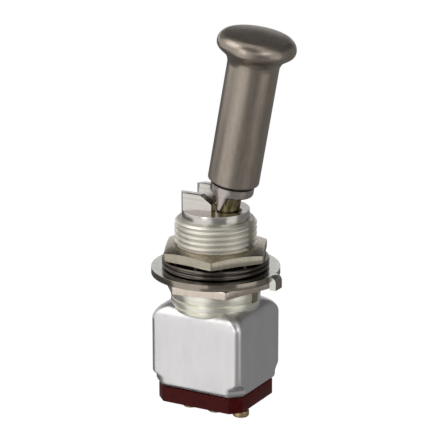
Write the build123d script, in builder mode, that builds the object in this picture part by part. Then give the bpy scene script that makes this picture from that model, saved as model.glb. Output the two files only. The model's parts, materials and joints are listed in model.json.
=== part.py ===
"""Locking-lever toggle switch: panel bushing, lock gate, pull sleeve and see-saw contacts.

Millimetres. +Z runs up the bushing and the lever leans towards +X. The origin lies on the bushing's
axis, halfway up the stretch of bare thread above the upper nut.
"""

from build123d import *
import os
from math import atan2, cos, radians, sin, sqrt, tan

# ---------------------------------------------------------------- driving dimensions
# Bushing: thread, keyway, shoulder and the stake under the can's top
thread_r = 5.95
thread_depth = 0.35
exposed_thread = 3.8
thread_end_chamfer = 0.45
keyway_width = 1.75
keyway_depth = 0.9
keyway_stop = 1.2
shoulder_r = 6.5
shoulder_height = 2.37
shoulder_skirt = 0.9
shoulder_groove = 0.16
shoulder_groove_heights = (0.55, 1.6)
stake_flange_r = 4.9
stake_flange_height = 0.8
stake_neck_r = 4.4

# Lock gate on top of the bushing
gate_r = 4.9
gate_neck = 1.4
ear_height = 2.6
ear_half_width = 3.4
ear_end_x = 1.15
ear_flat_x = -0.6
ear_ramp_drop = 1.15
channel_half_width = 2.15
channel_lead_length = 0.7
channel_lead_depth = 0.15

# Nuts and washers
nut_across_flats = 14.29
nut_height = 1.7
nut_face_r = 6.1
nut_cone_angle = 15.0
upper_nut_turn = -65.8
lower_nut_turn = -50.5
washer_clearance = 0.1
lock_washer_r = 7.8
lock_washer_rim = 1.0
lock_washer_sheet = 0.6
lock_tooth_count = 12
lock_tooth_width = 2.2
lock_tooth_twist = 35.5
keying_washer_r = 9.36
keying_washer_sheet = 0.95
tab_width = 1.95
tab_drop = 2.0
key_clearance = 0.12

# Can
can_length = 14.7
can_width = 12.8
can_height = 12.65
can_wall = 0.45
can_corner_r = 0.95
can_top_r = 2.55
lip_roll_r = 0.85
lip_turn = 0.5
stake_leg = 1.75
stake_height = 1.15
stake_ramp = 0.95

# Base
base_plug_height = 2.0
base_flange_height = 2.4
flange_inset_x = 0.35
flange_inset_y = 0.35
flange_corner_leg = 1.5
flange_corner_r = 0.35
flange_edge_r = 0.2
gasket_thickness = 0.5
gasket_width = 0.8
liner_wall = 0.4
liner_clearance = 0.1
liner_head_gap = 3.2

# Terminals and contacts
terminal_pitch = 4.2
terminal_neck_r = 0.85
terminal_disc_r = 1.22
terminal_disc_height = 0.95
terminal_reach = 2.45
terminal_head_r = 1.5
terminal_head_height = 0.5
fixed_contact_r = 1.1
moving_contact_r = 0.8
contact_height = 0.5
contact_gap = 0.1
rivet_r = 0.35

# See-saw blade, its saddle and the spring-loaded plunger
rocker_angle = 9.0
blade_thickness = 0.4
blade_width = 2.6
blade_end_margin = 0.3
trough_depth = 0.55
trough_half_length = 0.8
trough_ramp = 0.6
trunnion_r = 0.4
saddle_wall = 0.45
saddle_side_gap = 0.3
saddle_foot_height = 0.45
running_clearance = 0.05
wire_flats = 8
plunger_r = 1.15
plunger_gap = 0.3
plunger_body = 5.0
plunger_travel = 0.8
plunger_spring_wire = 0.3
plunger_spring_turns = 5
plunger_spring_spare = 0.4

# How near an edge or corner must lie to be picked for rounding
pick_margin = 0.01

# Lever, its pivot and its seal
lever_angle = 10.4
pivot_height = 2.44
shaft_r = 1.6
ball_r = 2.9
ball_gap = 0.6
stub_r = 2.0
stub_length = 7.0
pin_r = 0.8
pin_seat = 1.3
slot_clearance = 0.35
seal_wire_r = 0.32
seal_height = 1.9

# Sleeve, lock collar and their spring, measured along the lever
collar_r = 3.15
collar_rise = 0.1
collar_height = 1.8
collar_edge_r = 0.35
spigot_r = 2.5
spigot_length = 2.4
tooth_gap = 0.75
tooth_wall = 0.8
tooth_tip_half = 0.15
tooth_half_angle = 21.0
tooth_root_r = 0.4
knob_length = 22.42
knob_stem_r = 3.7
knob_chamfer = 0.35
cap_r = 5.65
cap_height = 4.02
cap_under_rise = 1.1
cap_rim_r = 0.95
cap_crown_r = 1.5
cap_fillet_r = 1.6
cap_dome = 0.65
stop_height = 1.8
stop_clearance = 0.08
stop_spigot_r = 1.0
shaft_top_margin = 1.0
knob_lift = 4.3
knob_spring_wire = 0.5
knob_spring_turns = 7
knob_spring_spare = 2.4

# ---------------------------------------------------------------- derived levels and sizes
thread_root_r = thread_r - thread_depth
thread_top_z = exposed_thread / 2
upper_nut_z = -exposed_thread / 2 - nut_height
twist = radians(lock_tooth_twist)
lock_washer_stack = lock_tooth_width * sin(twist) + lock_washer_sheet * cos(twist)
lock_washer_z = upper_nut_z - lock_washer_stack
keying_washer_z = lock_washer_z - keying_washer_sheet
lower_nut_z = keying_washer_z - nut_height
can_top_z = lower_nut_z - shoulder_height
lip_z = can_top_z - can_height
base_bottom_z = lip_z - base_flange_height
plug_z = lip_z + can_wall
base_top_z = plug_z + base_plug_height
shoulder_bottom_z = can_top_z - shoulder_skirt
stake_fall = stake_flange_r - (can_width / 2 - can_top_r)
inner_top_r = can_top_r - can_wall
stake_seat_z = can_top_z - can_wall - inner_top_r + sqrt(inner_top_r**2 - stake_fall**2)
stake_bottom_z = stake_seat_z - stake_flange_height
gate_rim_z = thread_top_z + gate_neck
ear_top_z = gate_rim_z + ear_height
washer_bore_r = thread_r + washer_clearance
pivot_z = can_top_z + pivot_height
cavity_r = ball_r + ball_gap
slot_r = shaft_r + slot_clearance

lean = radians(lever_angle)
seesaw = radians(rocker_angle)
pivot = (0, 0, pivot_z)
lever_direction = (sin(lean), 0, cos(lean))
lever_axis = Axis(pivot, lever_direction)
lever_section = Plane(origin=pivot, x_dir=(cos(lean), 0, -sin(lean)), z_dir=(0, -1, 0))
lever_plan = Plane(origin=pivot, x_dir=(cos(lean), 0, -sin(lean)), z_dir=lever_direction)
bushing_axis = Axis.Z

tooth_tip_s = (gate_rim_z - pivot_z + tooth_gap) / cos(lean)
collar_bottom_s = (ear_top_z - pivot_z) / cos(lean) + collar_rise
collar_top_s = collar_bottom_s + collar_height
knob_bottom_s = collar_top_s
knob_top_s = knob_bottom_s + knob_length
cap_under_s = knob_top_s - cap_height
spigot_top_s = knob_bottom_s + spigot_length
knob_spring_solid = (knob_spring_turns + 1) * knob_spring_wire
stop_bottom_s = spigot_top_s + knob_lift + knob_spring_solid + knob_spring_spare
stop_top_s = stop_bottom_s + stop_height
knob_bore_s = stop_top_s + shaft_top_margin
stop_r = spigot_r - stop_clearance

blade_half_length = terminal_pitch + moving_contact_r + blade_end_margin
fixed_contact_z = base_top_z + terminal_head_height + contact_height
swing_drop = (terminal_pitch + moving_contact_r) * sin(seesaw)
button_bottom = trough_depth - blade_thickness / 2 - contact_height
rocker_z = fixed_contact_z + contact_gap + swing_drop - button_bottom * cos(seesaw)
blade_direction = (cos(seesaw), 0, sin(seesaw))
rocker_section = Plane(origin=(0, 0, rocker_z), x_dir=blade_direction, z_dir=(0, -1, 0))
rocker_plan = Plane(origin=(0, 0, rocker_z), x_dir=blade_direction, z_dir=(-sin(seesaw), 0, cos(seesaw)))
saddle_inner = blade_width / 2 + saddle_side_gap
saddle_outer = saddle_inner + saddle_wall
plunger_tip_s = rocker_z + trunnion_r + plunger_gap - pivot_z
plunger_top_s = plunger_tip_s + plunger_body
plunger_bore_r = plunger_r + running_clearance
plunger_spring_solid = (plunger_spring_turns + 1) * plunger_spring_wire
plunger_seat_s = plunger_top_s + plunger_travel + plunger_spring_solid + plunger_spring_spare


# ---------------------------------------------------------------- shared shapes
def corner_leg(inset, leg):
    """Shorten a 45 degree corner cut so that its wall stays even at this depth under the skin."""
    return leg - inset * (2 - sqrt(2))


def can_outline(inset):
    """Sketch the can's plan, moved inwards by inset, with its staked corners cut off."""
    with BuildSketch() as outline:
        Rectangle(can_length - 2 * inset, can_width - 2 * inset)
        chamfer(outline.vertices(), corner_leg(inset, stake_leg))
    return outline.sketch


def stake_dents(inset):
    """Make the four corner blocks that staking presses away, inset under the can's skin."""
    fade_leg = can_corner_r / 2
    levels = (
        (lip_z - can_wall, stake_leg),
        (lip_z + stake_height, stake_leg),
        (lip_z + stake_height + stake_ramp, fade_leg),
    )
    half_x = can_length / 2 - inset
    half_y = can_width / 2 - inset
    with BuildPart() as dent:
        for level, full_leg in levels:
            leg = corner_leg(inset, full_leg)
            with BuildSketch(Plane.XY.offset(level)):
                with BuildLine():
                    Polyline(
                        (half_x - leg, half_y),
                        (half_x, half_y - leg),
                        (half_x + stake_leg, half_y - leg + stake_leg),
                        (half_x - leg + stake_leg, half_y + stake_leg),
                        close=True,
                    )
                make_face()
        loft(ruled=True)
        mirror(about=Plane.XZ)
        mirror(about=Plane.YZ)
    return dent.part


def make_nut(bottom_z, height, turn):
    """Turn and chamfer one hexagon nut with its crowned side up."""
    corner_r = nut_across_flats / 3**0.5
    crown_drop = (corner_r - nut_face_r) * tan(radians(nut_cone_angle))
    with BuildPart() as nut:
        with BuildSketch(Plane.XY.offset(bottom_z)):
            RegularPolygon(nut_across_flats / 2, 6, major_radius=False, rotation=turn)
        extrude(amount=height)
        with BuildSketch(Plane.XZ):
            with BuildLine():
                Polyline(
                    (0, bottom_z),
                    (corner_r, bottom_z),
                    (corner_r, bottom_z + height - crown_drop),
                    (nut_face_r, bottom_z + height),
                    (0, bottom_z + height),
                    close=True,
                )
            make_face()
        revolve(axis=bushing_axis, mode=Mode.INTERSECT)
        with BuildSketch(Plane.XY.offset(bottom_z)):
            Circle(thread_root_r)
        extrude(amount=height, mode=Mode.SUBTRACT)
    return nut.part


def coil_spring(start_s, end_s, middle_r, wire, turns):
    """Wind a plain helical spring round the lever's axis, between two places along it.

    The round wire is drawn with flats, to keep the part's meshes light.
    """
    length = end_s - start_s - wire
    start = Vector(*pivot) + Vector(*lever_direction) * (start_s + wire / 2)
    with BuildPart() as spring:
        with BuildLine():
            coil = Helix(length / turns, length, middle_r, center=start, direction=lever_direction)
        with BuildSketch(Plane(origin=coil @ 0, z_dir=coil % 0)):
            RegularPolygon(wire / 2, wire_flats)
        sweep(is_frenet=True)
    return spring.part


def save(part, name):
    """Label a finished piece and write it out."""
    part.label = name
    export_step(part, f"parts/{name}.step")


os.makedirs("parts", exist_ok=True)

# ---------------------------------------------------------------- can
with BuildPart() as can_outside:
    with BuildSketch(Plane.XY.offset(lip_z)):
        RectangleRounded(can_length, can_width, can_corner_r)
    extrude(amount=can_height)
    fillet(can_outside.faces().sort_by(Axis.Z)[-1].edges(), can_top_r)
    fillet(can_outside.faces().sort_by(Axis.Z)[0].edges(), lip_roll_r)
    add(stake_dents(0), mode=Mode.SUBTRACT)

inner_length = can_length - 2 * can_wall
inner_width = can_width - 2 * can_wall
inner_corner_r = can_corner_r - can_wall
with BuildPart() as can_inside:
    with BuildSketch(Plane.XY.offset(plug_z)):
        RectangleRounded(inner_length, inner_width, inner_corner_r)
    extrude(amount=can_height - 2 * can_wall)
    fillet(can_inside.faces().sort_by(Axis.Z)[-1].edges(), can_top_r - can_wall)
    add(stake_dents(can_wall), mode=Mode.SUBTRACT)

with BuildPart() as housing:
    add(can_outside.part)
    add(can_inside.part, mode=Mode.SUBTRACT)
    # Turned-in lip that grips the base's groove
    with BuildSketch(Plane.XY.offset(lip_z)):
        add(can_outline(can_wall + lip_turn))
    extrude(amount=can_wall, mode=Mode.SUBTRACT)
    # Hole for the bushing's staked neck
    with BuildSketch(Plane.XY.offset(stake_seat_z)):
        Circle(stake_neck_r)
    extrude(amount=can_top_z - stake_seat_z, mode=Mode.SUBTRACT)
save(housing.part, "housing")

# ---------------------------------------------------------------- bushing and lock gate
with BuildPart() as bushing:
    # Turned outside, from the skirt over the can's crown to the tops of the ears
    with BuildSketch(Plane.XZ):
        with BuildLine():
            Polyline(
                (0, shoulder_bottom_z),
                (shoulder_r, shoulder_bottom_z),
                (shoulder_r, lower_nut_z),
                (thread_root_r, lower_nut_z),
                (thread_root_r, -exposed_thread / 2),
                (thread_r, -exposed_thread / 2),
                (thread_r, thread_top_z - thread_end_chamfer),
                (thread_r - thread_end_chamfer, thread_top_z),
                (gate_r, thread_top_z),
                (gate_r, ear_top_z),
                (0, ear_top_z),
                close=True,
            )
        make_face()
    revolve(axis=bushing_axis)
    # Fine grooves round the shoulder
    with BuildSketch(Plane.XZ):
        for height in shoulder_groove_heights:
            with Locations((shoulder_r, shoulder_bottom_z + height)):
                Rectangle(2 * shoulder_groove, shoulder_groove)
    revolve(axis=bushing_axis, mode=Mode.SUBTRACT)
    # The skirt's underside fits the can's crown, and a staked neck holds it from inside
    add(can_outside.part, mode=Mode.SUBTRACT)
    with BuildSketch(Plane.XY.offset(stake_bottom_z)):
        Circle(stake_neck_r)
    extrude(amount=can_top_z - stake_bottom_z)
    with BuildSketch(Plane.XY.offset(stake_bottom_z)):
        Circle(stake_flange_r)
    extrude(amount=stake_flange_height)
    # Keyway down the lever's side
    keyway_floor = thread_r - keyway_depth
    keyway_z = shoulder_bottom_z + keyway_stop
    with BuildSketch(Plane.XY.offset(keyway_z)):
        with Locations((keyway_floor + shoulder_r / 2, 0)):
            Rectangle(shoulder_r, keyway_width)
    extrude(amount=thread_top_z - keyway_z, mode=Mode.SUBTRACT)
    # Cavity for the lever's ball, open below and domed above
    with BuildSketch(Plane.XZ):
        with BuildLine():
            Line((0, stake_bottom_z), (cavity_r, stake_bottom_z))
            Line((cavity_r, stake_bottom_z), (cavity_r, pivot_z))
            RadiusArc((cavity_r, pivot_z), (0, pivot_z + cavity_r), -cavity_r)
            Line((0, pivot_z + cavity_r), (0, stake_bottom_z))
        make_face()
    revolve(axis=bushing_axis, mode=Mode.SUBTRACT)
    # Slot that the shaft swings in: its two end positions and the wedge between them
    slot_reach = 2 * (ear_top_z - pivot_z)
    slot_edge = slot_r / cos(lean)
    with BuildSketch(Plane.XZ):
        with BuildLine():
            Polyline(
                (0, pivot_z),
                (-(ear_top_z - pivot_z) * tan(lean), ear_top_z),
                ((ear_top_z - pivot_z) * tan(lean), ear_top_z),
                close=True,
            )
        make_face()
    extrude(amount=slot_r, both=True, mode=Mode.SUBTRACT)
    for side in (-1, 1):
        end_plane = Plane(origin=pivot, z_dir=(side * sin(lean), 0, cos(lean)))
        with BuildSketch(end_plane):
            Circle(slot_r)
        extrude(amount=slot_reach, mode=Mode.SUBTRACT)
    # Seat for the cross pin
    with BuildSketch(Plane.XZ):
        with Locations((0, pivot_z)):
            Circle(pin_r)
    extrude(amount=cavity_r + pin_seat, both=True, mode=Mode.SUBTRACT)
    # Milled gate: channel between the ears, flats outside them, stop faces and ramps
    with BuildSketch(Plane.YZ):
        with Locations((0, gate_rim_z)):
            Rectangle(2 * channel_half_width, ear_height, align=(Align.CENTER, Align.MIN))
        for side in (-1, 1):
            with Locations((side * (ear_half_width + gate_r / 2), gate_rim_z)):
                Rectangle(gate_r, ear_height, align=(Align.CENTER, Align.MIN))
    extrude(amount=gate_r, both=True, mode=Mode.SUBTRACT)
    with BuildSketch(Plane.XZ):
        with BuildLine():
            Polyline(
                (ear_flat_x, ear_top_z),
                (ear_end_x, ear_top_z - ear_ramp_drop),
                (ear_end_x, gate_rim_z),
                (gate_r, gate_rim_z),
                (gate_r, ear_top_z),
                close=True,
            )
        make_face()
    extrude(amount=gate_r, both=True, mode=Mode.SUBTRACT)
    # Lead-in at the channel's open end
    mouth_x = -((gate_r**2 - channel_half_width**2) ** 0.5)
    with BuildSketch(Plane.XY.offset(gate_rim_z)):
        for side in (-1, 1):
            with BuildLine():
                Polyline(
                    (mouth_x + channel_lead_length, side * channel_half_width),
                    (mouth_x, side * (channel_half_width + channel_lead_depth)),
                    (-gate_r, side * (channel_half_width + channel_lead_depth)),
                    (-gate_r, side * channel_half_width),
                    close=True,
                )
            make_face()
    extrude(amount=ear_height, mode=Mode.SUBTRACT)
save(bushing.part, "bushing")

# ---------------------------------------------------------------- nuts and washers
save(make_nut(upper_nut_z, nut_height, upper_nut_turn), "upper_nut")
save(make_nut(lower_nut_z, nut_height, lower_nut_turn), "lower_nut")

with BuildPart() as lock_washer:
    rim_inner_r = lock_washer_r - lock_washer_rim
    middle_z = lock_washer_z + lock_washer_stack / 2
    with BuildSketch(Plane.XY.offset(middle_z - lock_washer_sheet / 2)):
        Circle(lock_washer_r)
        Circle(rim_inner_r, mode=Mode.SUBTRACT)
    extrude(amount=lock_washer_sheet)
    # Internal teeth, each twisted about its own radius until it spans the whole stack
    for index in range(lock_tooth_count):
        turn = radians(index * 360 / lock_tooth_count)
        tooth_plane = Plane(
            origin=(washer_bore_r * cos(turn), washer_bore_r * sin(turn), middle_z),
            x_dir=(-sin(turn), cos(turn), 0),
            z_dir=(cos(turn), sin(turn), 0),
        )
        with BuildSketch(tooth_plane):
            Rectangle(lock_tooth_width, lock_washer_sheet, rotation=lock_tooth_twist)
        extrude(amount=rim_inner_r - washer_bore_r + lock_washer_rim / 4)
save(lock_washer.part, "lock_washer")

with BuildPart() as keying_washer:
    with BuildSketch(Plane.XY.offset(keying_washer_z)):
        Circle(keying_washer_r)
        Circle(washer_bore_r, mode=Mode.SUBTRACT)
        # Tongue that rides in the bushing's keyway
        tongue_tip = thread_r - keyway_depth + key_clearance
        with Locations((tongue_tip, 0)):
            Rectangle(
                washer_bore_r + keying_washer_sheet - tongue_tip,
                keyway_width - 2 * key_clearance,
                align=(Align.MIN, Align.CENTER),
            )
    extrude(amount=keying_washer_sheet)
    # Locating tab, bent down past the rim
    tab_outer_x = keying_washer_r + keying_washer_sheet
    washer_top_z = keying_washer_z + keying_washer_sheet
    with BuildSketch(Plane.XZ):
        with BuildLine():
            Polyline(
                (keying_washer_r - keying_washer_sheet, washer_top_z),
                (tab_outer_x, washer_top_z),
                (tab_outer_x, washer_top_z - tab_drop),
                (keying_washer_r, washer_top_z - tab_drop),
                (keying_washer_r, keying_washer_z),
                (keying_washer_r - keying_washer_sheet, keying_washer_z),
                close=True,
            )
        make_face()
    extrude(amount=tab_width / 2, both=True)
    bends = keying_washer.edges().filter_by(Axis.Y).filter_by_position(Axis.Y, -pick_margin, pick_margin)
    outer_face = (tab_outer_x - pick_margin, tab_outer_x + pick_margin)
    outer_bend = bends.filter_by_position(Axis.X, *outer_face).sort_by(Axis.Z)[-1]
    fillet(outer_bend, keying_washer_sheet)
save(keying_washer.part, "keying_washer")

# ---------------------------------------------------------------- base, gasket and liner
terminal_places = [(-terminal_pitch, 0), (0, 0), (terminal_pitch, 0)]
with BuildPart() as base:
    with BuildSketch(Plane.XY.offset(base_bottom_z)) as flange_plan:
        Rectangle(can_length - 2 * flange_inset_x, can_width - 2 * flange_inset_y)
        chamfer(flange_plan.vertices(), flange_corner_leg)
        fillet(flange_plan.vertices(), flange_corner_r)
    extrude(amount=base_flange_height)
    fillet(base.faces().sort_by(Axis.Z)[0].edges(), flange_edge_r)
    with BuildSketch(Plane.XY.offset(lip_z)):
        add(can_outline(can_wall + lip_turn))
    extrude(amount=can_wall)
    with BuildSketch(Plane.XY.offset(plug_z)):
        add(can_outline(can_wall))
    extrude(amount=base_plug_height)
    with BuildSketch(Plane.XY.offset(base_bottom_z)):
        with Locations(*terminal_places):
            Circle(terminal_neck_r)
    extrude(amount=base_top_z - base_bottom_z, mode=Mode.SUBTRACT)
save(base.part, "base")

with BuildPart() as base_gasket:
    with BuildSketch(Plane.XY.offset(base_top_z)):
        add(can_outline(can_wall))
        add(can_outline(can_wall + gasket_width), mode=Mode.SUBTRACT)
    extrude(amount=gasket_thickness)
save(base_gasket.part, "base_gasket")

with BuildPart() as insulating_liner:
    liner_z = base_top_z + gasket_thickness
    liner_length = inner_length - 2 * liner_clearance
    liner_width = inner_width - 2 * liner_clearance
    with BuildSketch(Plane.XY.offset(liner_z)):
        RectangleRounded(liner_length, liner_width, inner_corner_r)
        Rectangle(liner_length - 2 * liner_wall, liner_width - 2 * liner_wall, mode=Mode.SUBTRACT)
    extrude(amount=can_top_z - liner_head_gap - liner_z)
save(insulating_liner.part, "insulating_liner")


# ---------------------------------------------------------------- terminals and contacts
def make_terminal(place_x):
    """Turn one turret terminal: soldering flange below, neck through the base, riveted head."""
    end_z = base_bottom_z - terminal_reach
    with BuildPart() as terminal:
        for level, radius, height in (
            (end_z, terminal_disc_r, terminal_disc_height),
            (end_z, terminal_neck_r, base_top_z - end_z),
            (base_top_z, terminal_head_r, terminal_head_height),
        ):
            with BuildSketch(Plane.XY.offset(level)):
                with Locations((place_x, 0)):
                    Circle(radius)
            extrude(amount=height)
    return terminal.part


for name, place_x in (
    ("terminal_left", -terminal_pitch),
    ("terminal_common", 0),
    ("terminal_right", terminal_pitch),
):
    save(make_terminal(place_x), name)

for name, side in (("fixed_contact_left", -1), ("fixed_contact_right", 1)):
    with BuildPart() as fixed_contact:
        with BuildSketch(Plane.XY.offset(base_top_z + terminal_head_height)):
            with Locations((side * terminal_pitch, 0)):
                Circle(fixed_contact_r)
        extrude(amount=contact_height)
    save(fixed_contact.part, name)

with BuildPart() as rocker_saddle:
    foot_z = base_top_z + terminal_head_height
    with BuildSketch(Plane.XY.offset(foot_z)):
        Rectangle(2 * terminal_head_r, 2 * saddle_outer)
    extrude(amount=saddle_foot_height)
    for side in (-1, 1):
        with BuildSketch(Plane.XY.offset(foot_z)):
            with Locations((0, side * (saddle_inner + saddle_wall / 2))):
                Rectangle(2 * terminal_head_r, saddle_wall)
        extrude(amount=rocker_z + 2 * trunnion_r - foot_z)
    top_edges = rocker_saddle.faces().sort_by(Axis.Z)[-2:].edges().filter_by(Axis.Y)
    chamfer(top_edges, trunnion_r)
    with BuildSketch(Plane.XZ):
        with Locations((0, rocker_z)):
            Circle(trunnion_r + running_clearance)
    extrude(amount=saddle_outer, both=True, mode=Mode.SUBTRACT)
save(rocker_saddle.part, "rocker_saddle")

with BuildPart() as contact_rocker:
    # Blade folded from strip: level arms either side of a trough that sits on the trunnion
    half = blade_thickness / 2
    bend_shift = blade_thickness * tan(atan2(trough_depth, trough_ramp) / 2)
    trough_end = trough_half_length + trough_ramp
    with BuildSketch(rocker_section):
        with BuildLine():
            Polyline(
                (0, half),
                (trough_half_length, half),
                (trough_end, trough_depth + half),
                (blade_half_length, trough_depth + half),
                (blade_half_length, trough_depth - half),
                (trough_end + bend_shift, trough_depth - half),
                (trough_half_length + bend_shift, -half),
                (0, -half),
                close=True,
            )
        make_face()
        mirror(about=Plane.YZ)
    extrude(amount=blade_width / 2, both=True)
    with BuildSketch(rocker_section):
        Circle(trunnion_r)
    extrude(amount=saddle_outer, both=True)
    with BuildSketch(rocker_plan.offset(trough_depth - half)):
        with Locations((-terminal_pitch, 0), (terminal_pitch, 0)):
            Circle(rivet_r)
    extrude(amount=blade_thickness, mode=Mode.SUBTRACT)
save(contact_rocker.part, "contact_rocker")

for name, side in (("moving_contact_left", -1), ("moving_contact_right", 1)):
    with BuildPart() as moving_contact:
        arm_under = trough_depth - blade_thickness / 2
        with BuildSketch(rocker_plan.offset(arm_under)):
            with Locations((side * terminal_pitch, 0)):
                Circle(moving_contact_r)
        extrude(amount=-contact_height)
        with BuildSketch(rocker_plan.offset(arm_under)):
            with Locations((side * terminal_pitch, 0)):
                Circle(rivet_r)
        extrude(amount=blade_thickness)
    save(moving_contact.part, name)

# ---------------------------------------------------------------- lever and what it carries
with BuildPart() as pivot_pin:
    with BuildSketch(Plane.XZ):
        with Locations((0, pivot_z)):
            Circle(pin_r)
    extrude(amount=cavity_r + pin_seat, both=True)
save(pivot_pin.part, "pivot_pin")

seal_ring_r = sqrt(ball_r**2 - seal_height**2)
with BuildPart() as lever_seal:
    with BuildSketch(lever_section):
        with Locations((seal_ring_r, seal_height)):
            Circle(seal_wire_r)
    revolve(axis=lever_axis)
save(lever_seal.part, "lever_seal")

with BuildPart() as lever:
    # Ball at the pivot, shaft above it, stub below it
    with BuildSketch(lever_section):
        with BuildLine():
            Line((0, -ball_r), (0, ball_r))
            RadiusArc((0, ball_r), (0, -ball_r), ball_r, short_sagitta=False)
        make_face()
    revolve(axis=lever_axis)
    for start_s, end_s, radius in (
        (0, stop_bottom_s, shaft_r),
        (0, stop_top_s, stop_spigot_r),
        (-stub_length, 0, stub_r),
    ):
        with BuildSketch(lever_plan.offset(start_s)):
            Circle(radius)
        extrude(amount=end_s - start_s)
    # Blind bore for the plunger and its spring
    with BuildSketch(lever_plan.offset(-stub_length)):
        Circle(plunger_bore_r)
    extrude(amount=stub_length + plunger_seat_s, mode=Mode.SUBTRACT)
    # Hole for the cross pin and groove for the seal
    with BuildSketch(Plane.XZ):
        with Locations((0, pivot_z)):
            Circle(pin_r + running_clearance)
    extrude(amount=ball_r, both=True, mode=Mode.SUBTRACT)
    add(lever_seal.part, mode=Mode.SUBTRACT)
save(lever.part, "lever")

with BuildPart() as plunger:
    with BuildSketch(lever_section):
        with BuildLine():
            Line((0, plunger_top_s), (plunger_r, plunger_top_s))
            Line((plunger_r, plunger_top_s), (plunger_r, plunger_tip_s + plunger_r))
            RadiusArc((plunger_r, plunger_tip_s + plunger_r), (0, plunger_tip_s), plunger_r)
            Line((0, plunger_tip_s), (0, plunger_top_s))
        make_face()
    revolve(axis=lever_axis)
save(plunger.part, "plunger")

plunger_coil_r = plunger_bore_r - plunger_spring_wire
plunger_spring = coil_spring(
    plunger_top_s, plunger_seat_s, plunger_coil_r, plunger_spring_wire, plunger_spring_turns
)
save(plunger_spring, "plunger_spring")

with BuildPart() as lever_stop:
    with BuildSketch(lever_plan.offset(stop_bottom_s)):
        Circle(stop_r)
        Circle(stop_spigot_r, mode=Mode.SUBTRACT)
    extrude(amount=stop_height)
save(lever_stop.part, "lever_stop")

knob_spring = coil_spring(
    spigot_top_s, stop_bottom_s, (shaft_r + spigot_r) / 2, knob_spring_wire, knob_spring_turns
)
save(knob_spring, "knob_spring")

# ---------------------------------------------------------------- lock collar and sleeve
with BuildPart() as lock_collar:
    # V teeth, cut from the collar's wall on the two sides that face the ears
    tooth_height = collar_bottom_s - tooth_tip_s
    tooth_root_half = tooth_tip_half + tooth_height * tan(radians(tooth_half_angle))
    with BuildSketch(lever_section) as tooth_side:
        with BuildLine():
            Polyline(
                (-tooth_tip_half, tooth_tip_s),
                (tooth_tip_half, tooth_tip_s),
                (tooth_root_half, collar_bottom_s),
                (collar_r, collar_bottom_s),
                (collar_r, collar_bottom_s + tooth_root_half),
                (-collar_r, collar_bottom_s + tooth_root_half),
                (-collar_r, collar_bottom_s),
                (-tooth_root_half, collar_bottom_s),
                close=True,
            )
        make_face()
        corners = tooth_side.vertices()
        at_collar = corners.filter_by(lambda corner: abs(corner.Y - collar_bottom_s) < pick_margin)
        roots = at_collar.filter_by(lambda corner: abs(abs(corner.X) - tooth_root_half) < pick_margin)
        fillet(roots, tooth_root_r)
    extrude(amount=collar_r, both=True)
    with BuildSketch(lever_plan.offset(tooth_tip_s)):
        Circle(collar_r)
        Circle(collar_r - tooth_wall, mode=Mode.SUBTRACT)
    extrude(amount=collar_top_s - tooth_tip_s, mode=Mode.INTERSECT)
    # Turned collar, and the spigot that fits the sleeve
    with BuildSketch(lever_section):
        with BuildLine():
            Polyline(
                (0, collar_bottom_s),
                (collar_r - collar_edge_r, collar_bottom_s),
                (collar_r, collar_bottom_s + collar_edge_r),
                (collar_r, collar_top_s),
                (spigot_r, collar_top_s),
                (spigot_r, spigot_top_s),
                (0, spigot_top_s),
                close=True,
            )
        make_face()
    revolve(axis=lever_axis)
    with BuildSketch(lever_plan.offset(tooth_tip_s)):
        Circle(shaft_r + running_clearance)
    extrude(amount=spigot_top_s - tooth_tip_s, mode=Mode.SUBTRACT)
save(lock_collar.part, "lock_collar")

with BuildPart() as knob:
    with BuildSketch(lever_section) as knob_profile:
        with BuildLine():
            Polyline(
                (0, knob_bottom_s),
                (knob_stem_r - knob_chamfer, knob_bottom_s),
                (knob_stem_r, knob_bottom_s + knob_chamfer),
                (knob_stem_r, cap_under_s),
                (cap_r, cap_under_s + cap_under_rise),
                (cap_r, knob_top_s - cap_dome),
                (0, knob_top_s),
                close=True,
            )
        make_face()
        corners = knob_profile.vertices()
        fillet(corners.sort_by_distance((knob_stem_r, cap_under_s, 0))[0], cap_fillet_r)
        corners = knob_profile.vertices()
        fillet(corners.sort_by_distance((cap_r, cap_under_s + cap_under_rise, 0))[0], cap_rim_r)
        corners = knob_profile.vertices()
        fillet(corners.sort_by_distance((cap_r, knob_top_s - cap_dome, 0))[0], cap_crown_r)
    revolve(axis=lever_axis)
    with BuildSketch(lever_plan.offset(knob_bottom_s)):
        Circle(spigot_r)
    extrude(amount=knob_bore_s - knob_bottom_s, mode=Mode.SUBTRACT)
save(knob.part, "knob")
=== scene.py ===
"""Locking-lever toggle switch: the dressed pieces, their finishes and a plain studio."""

import json
from math import acos, asin, atan2, ceil, cos, hypot, pi, radians, sin, sqrt, tan

import bmesh
import bpy
from bpy.props import FloatProperty, FloatVectorProperty, IntProperty, PointerProperty
from mathutils import Matrix, Vector


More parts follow.
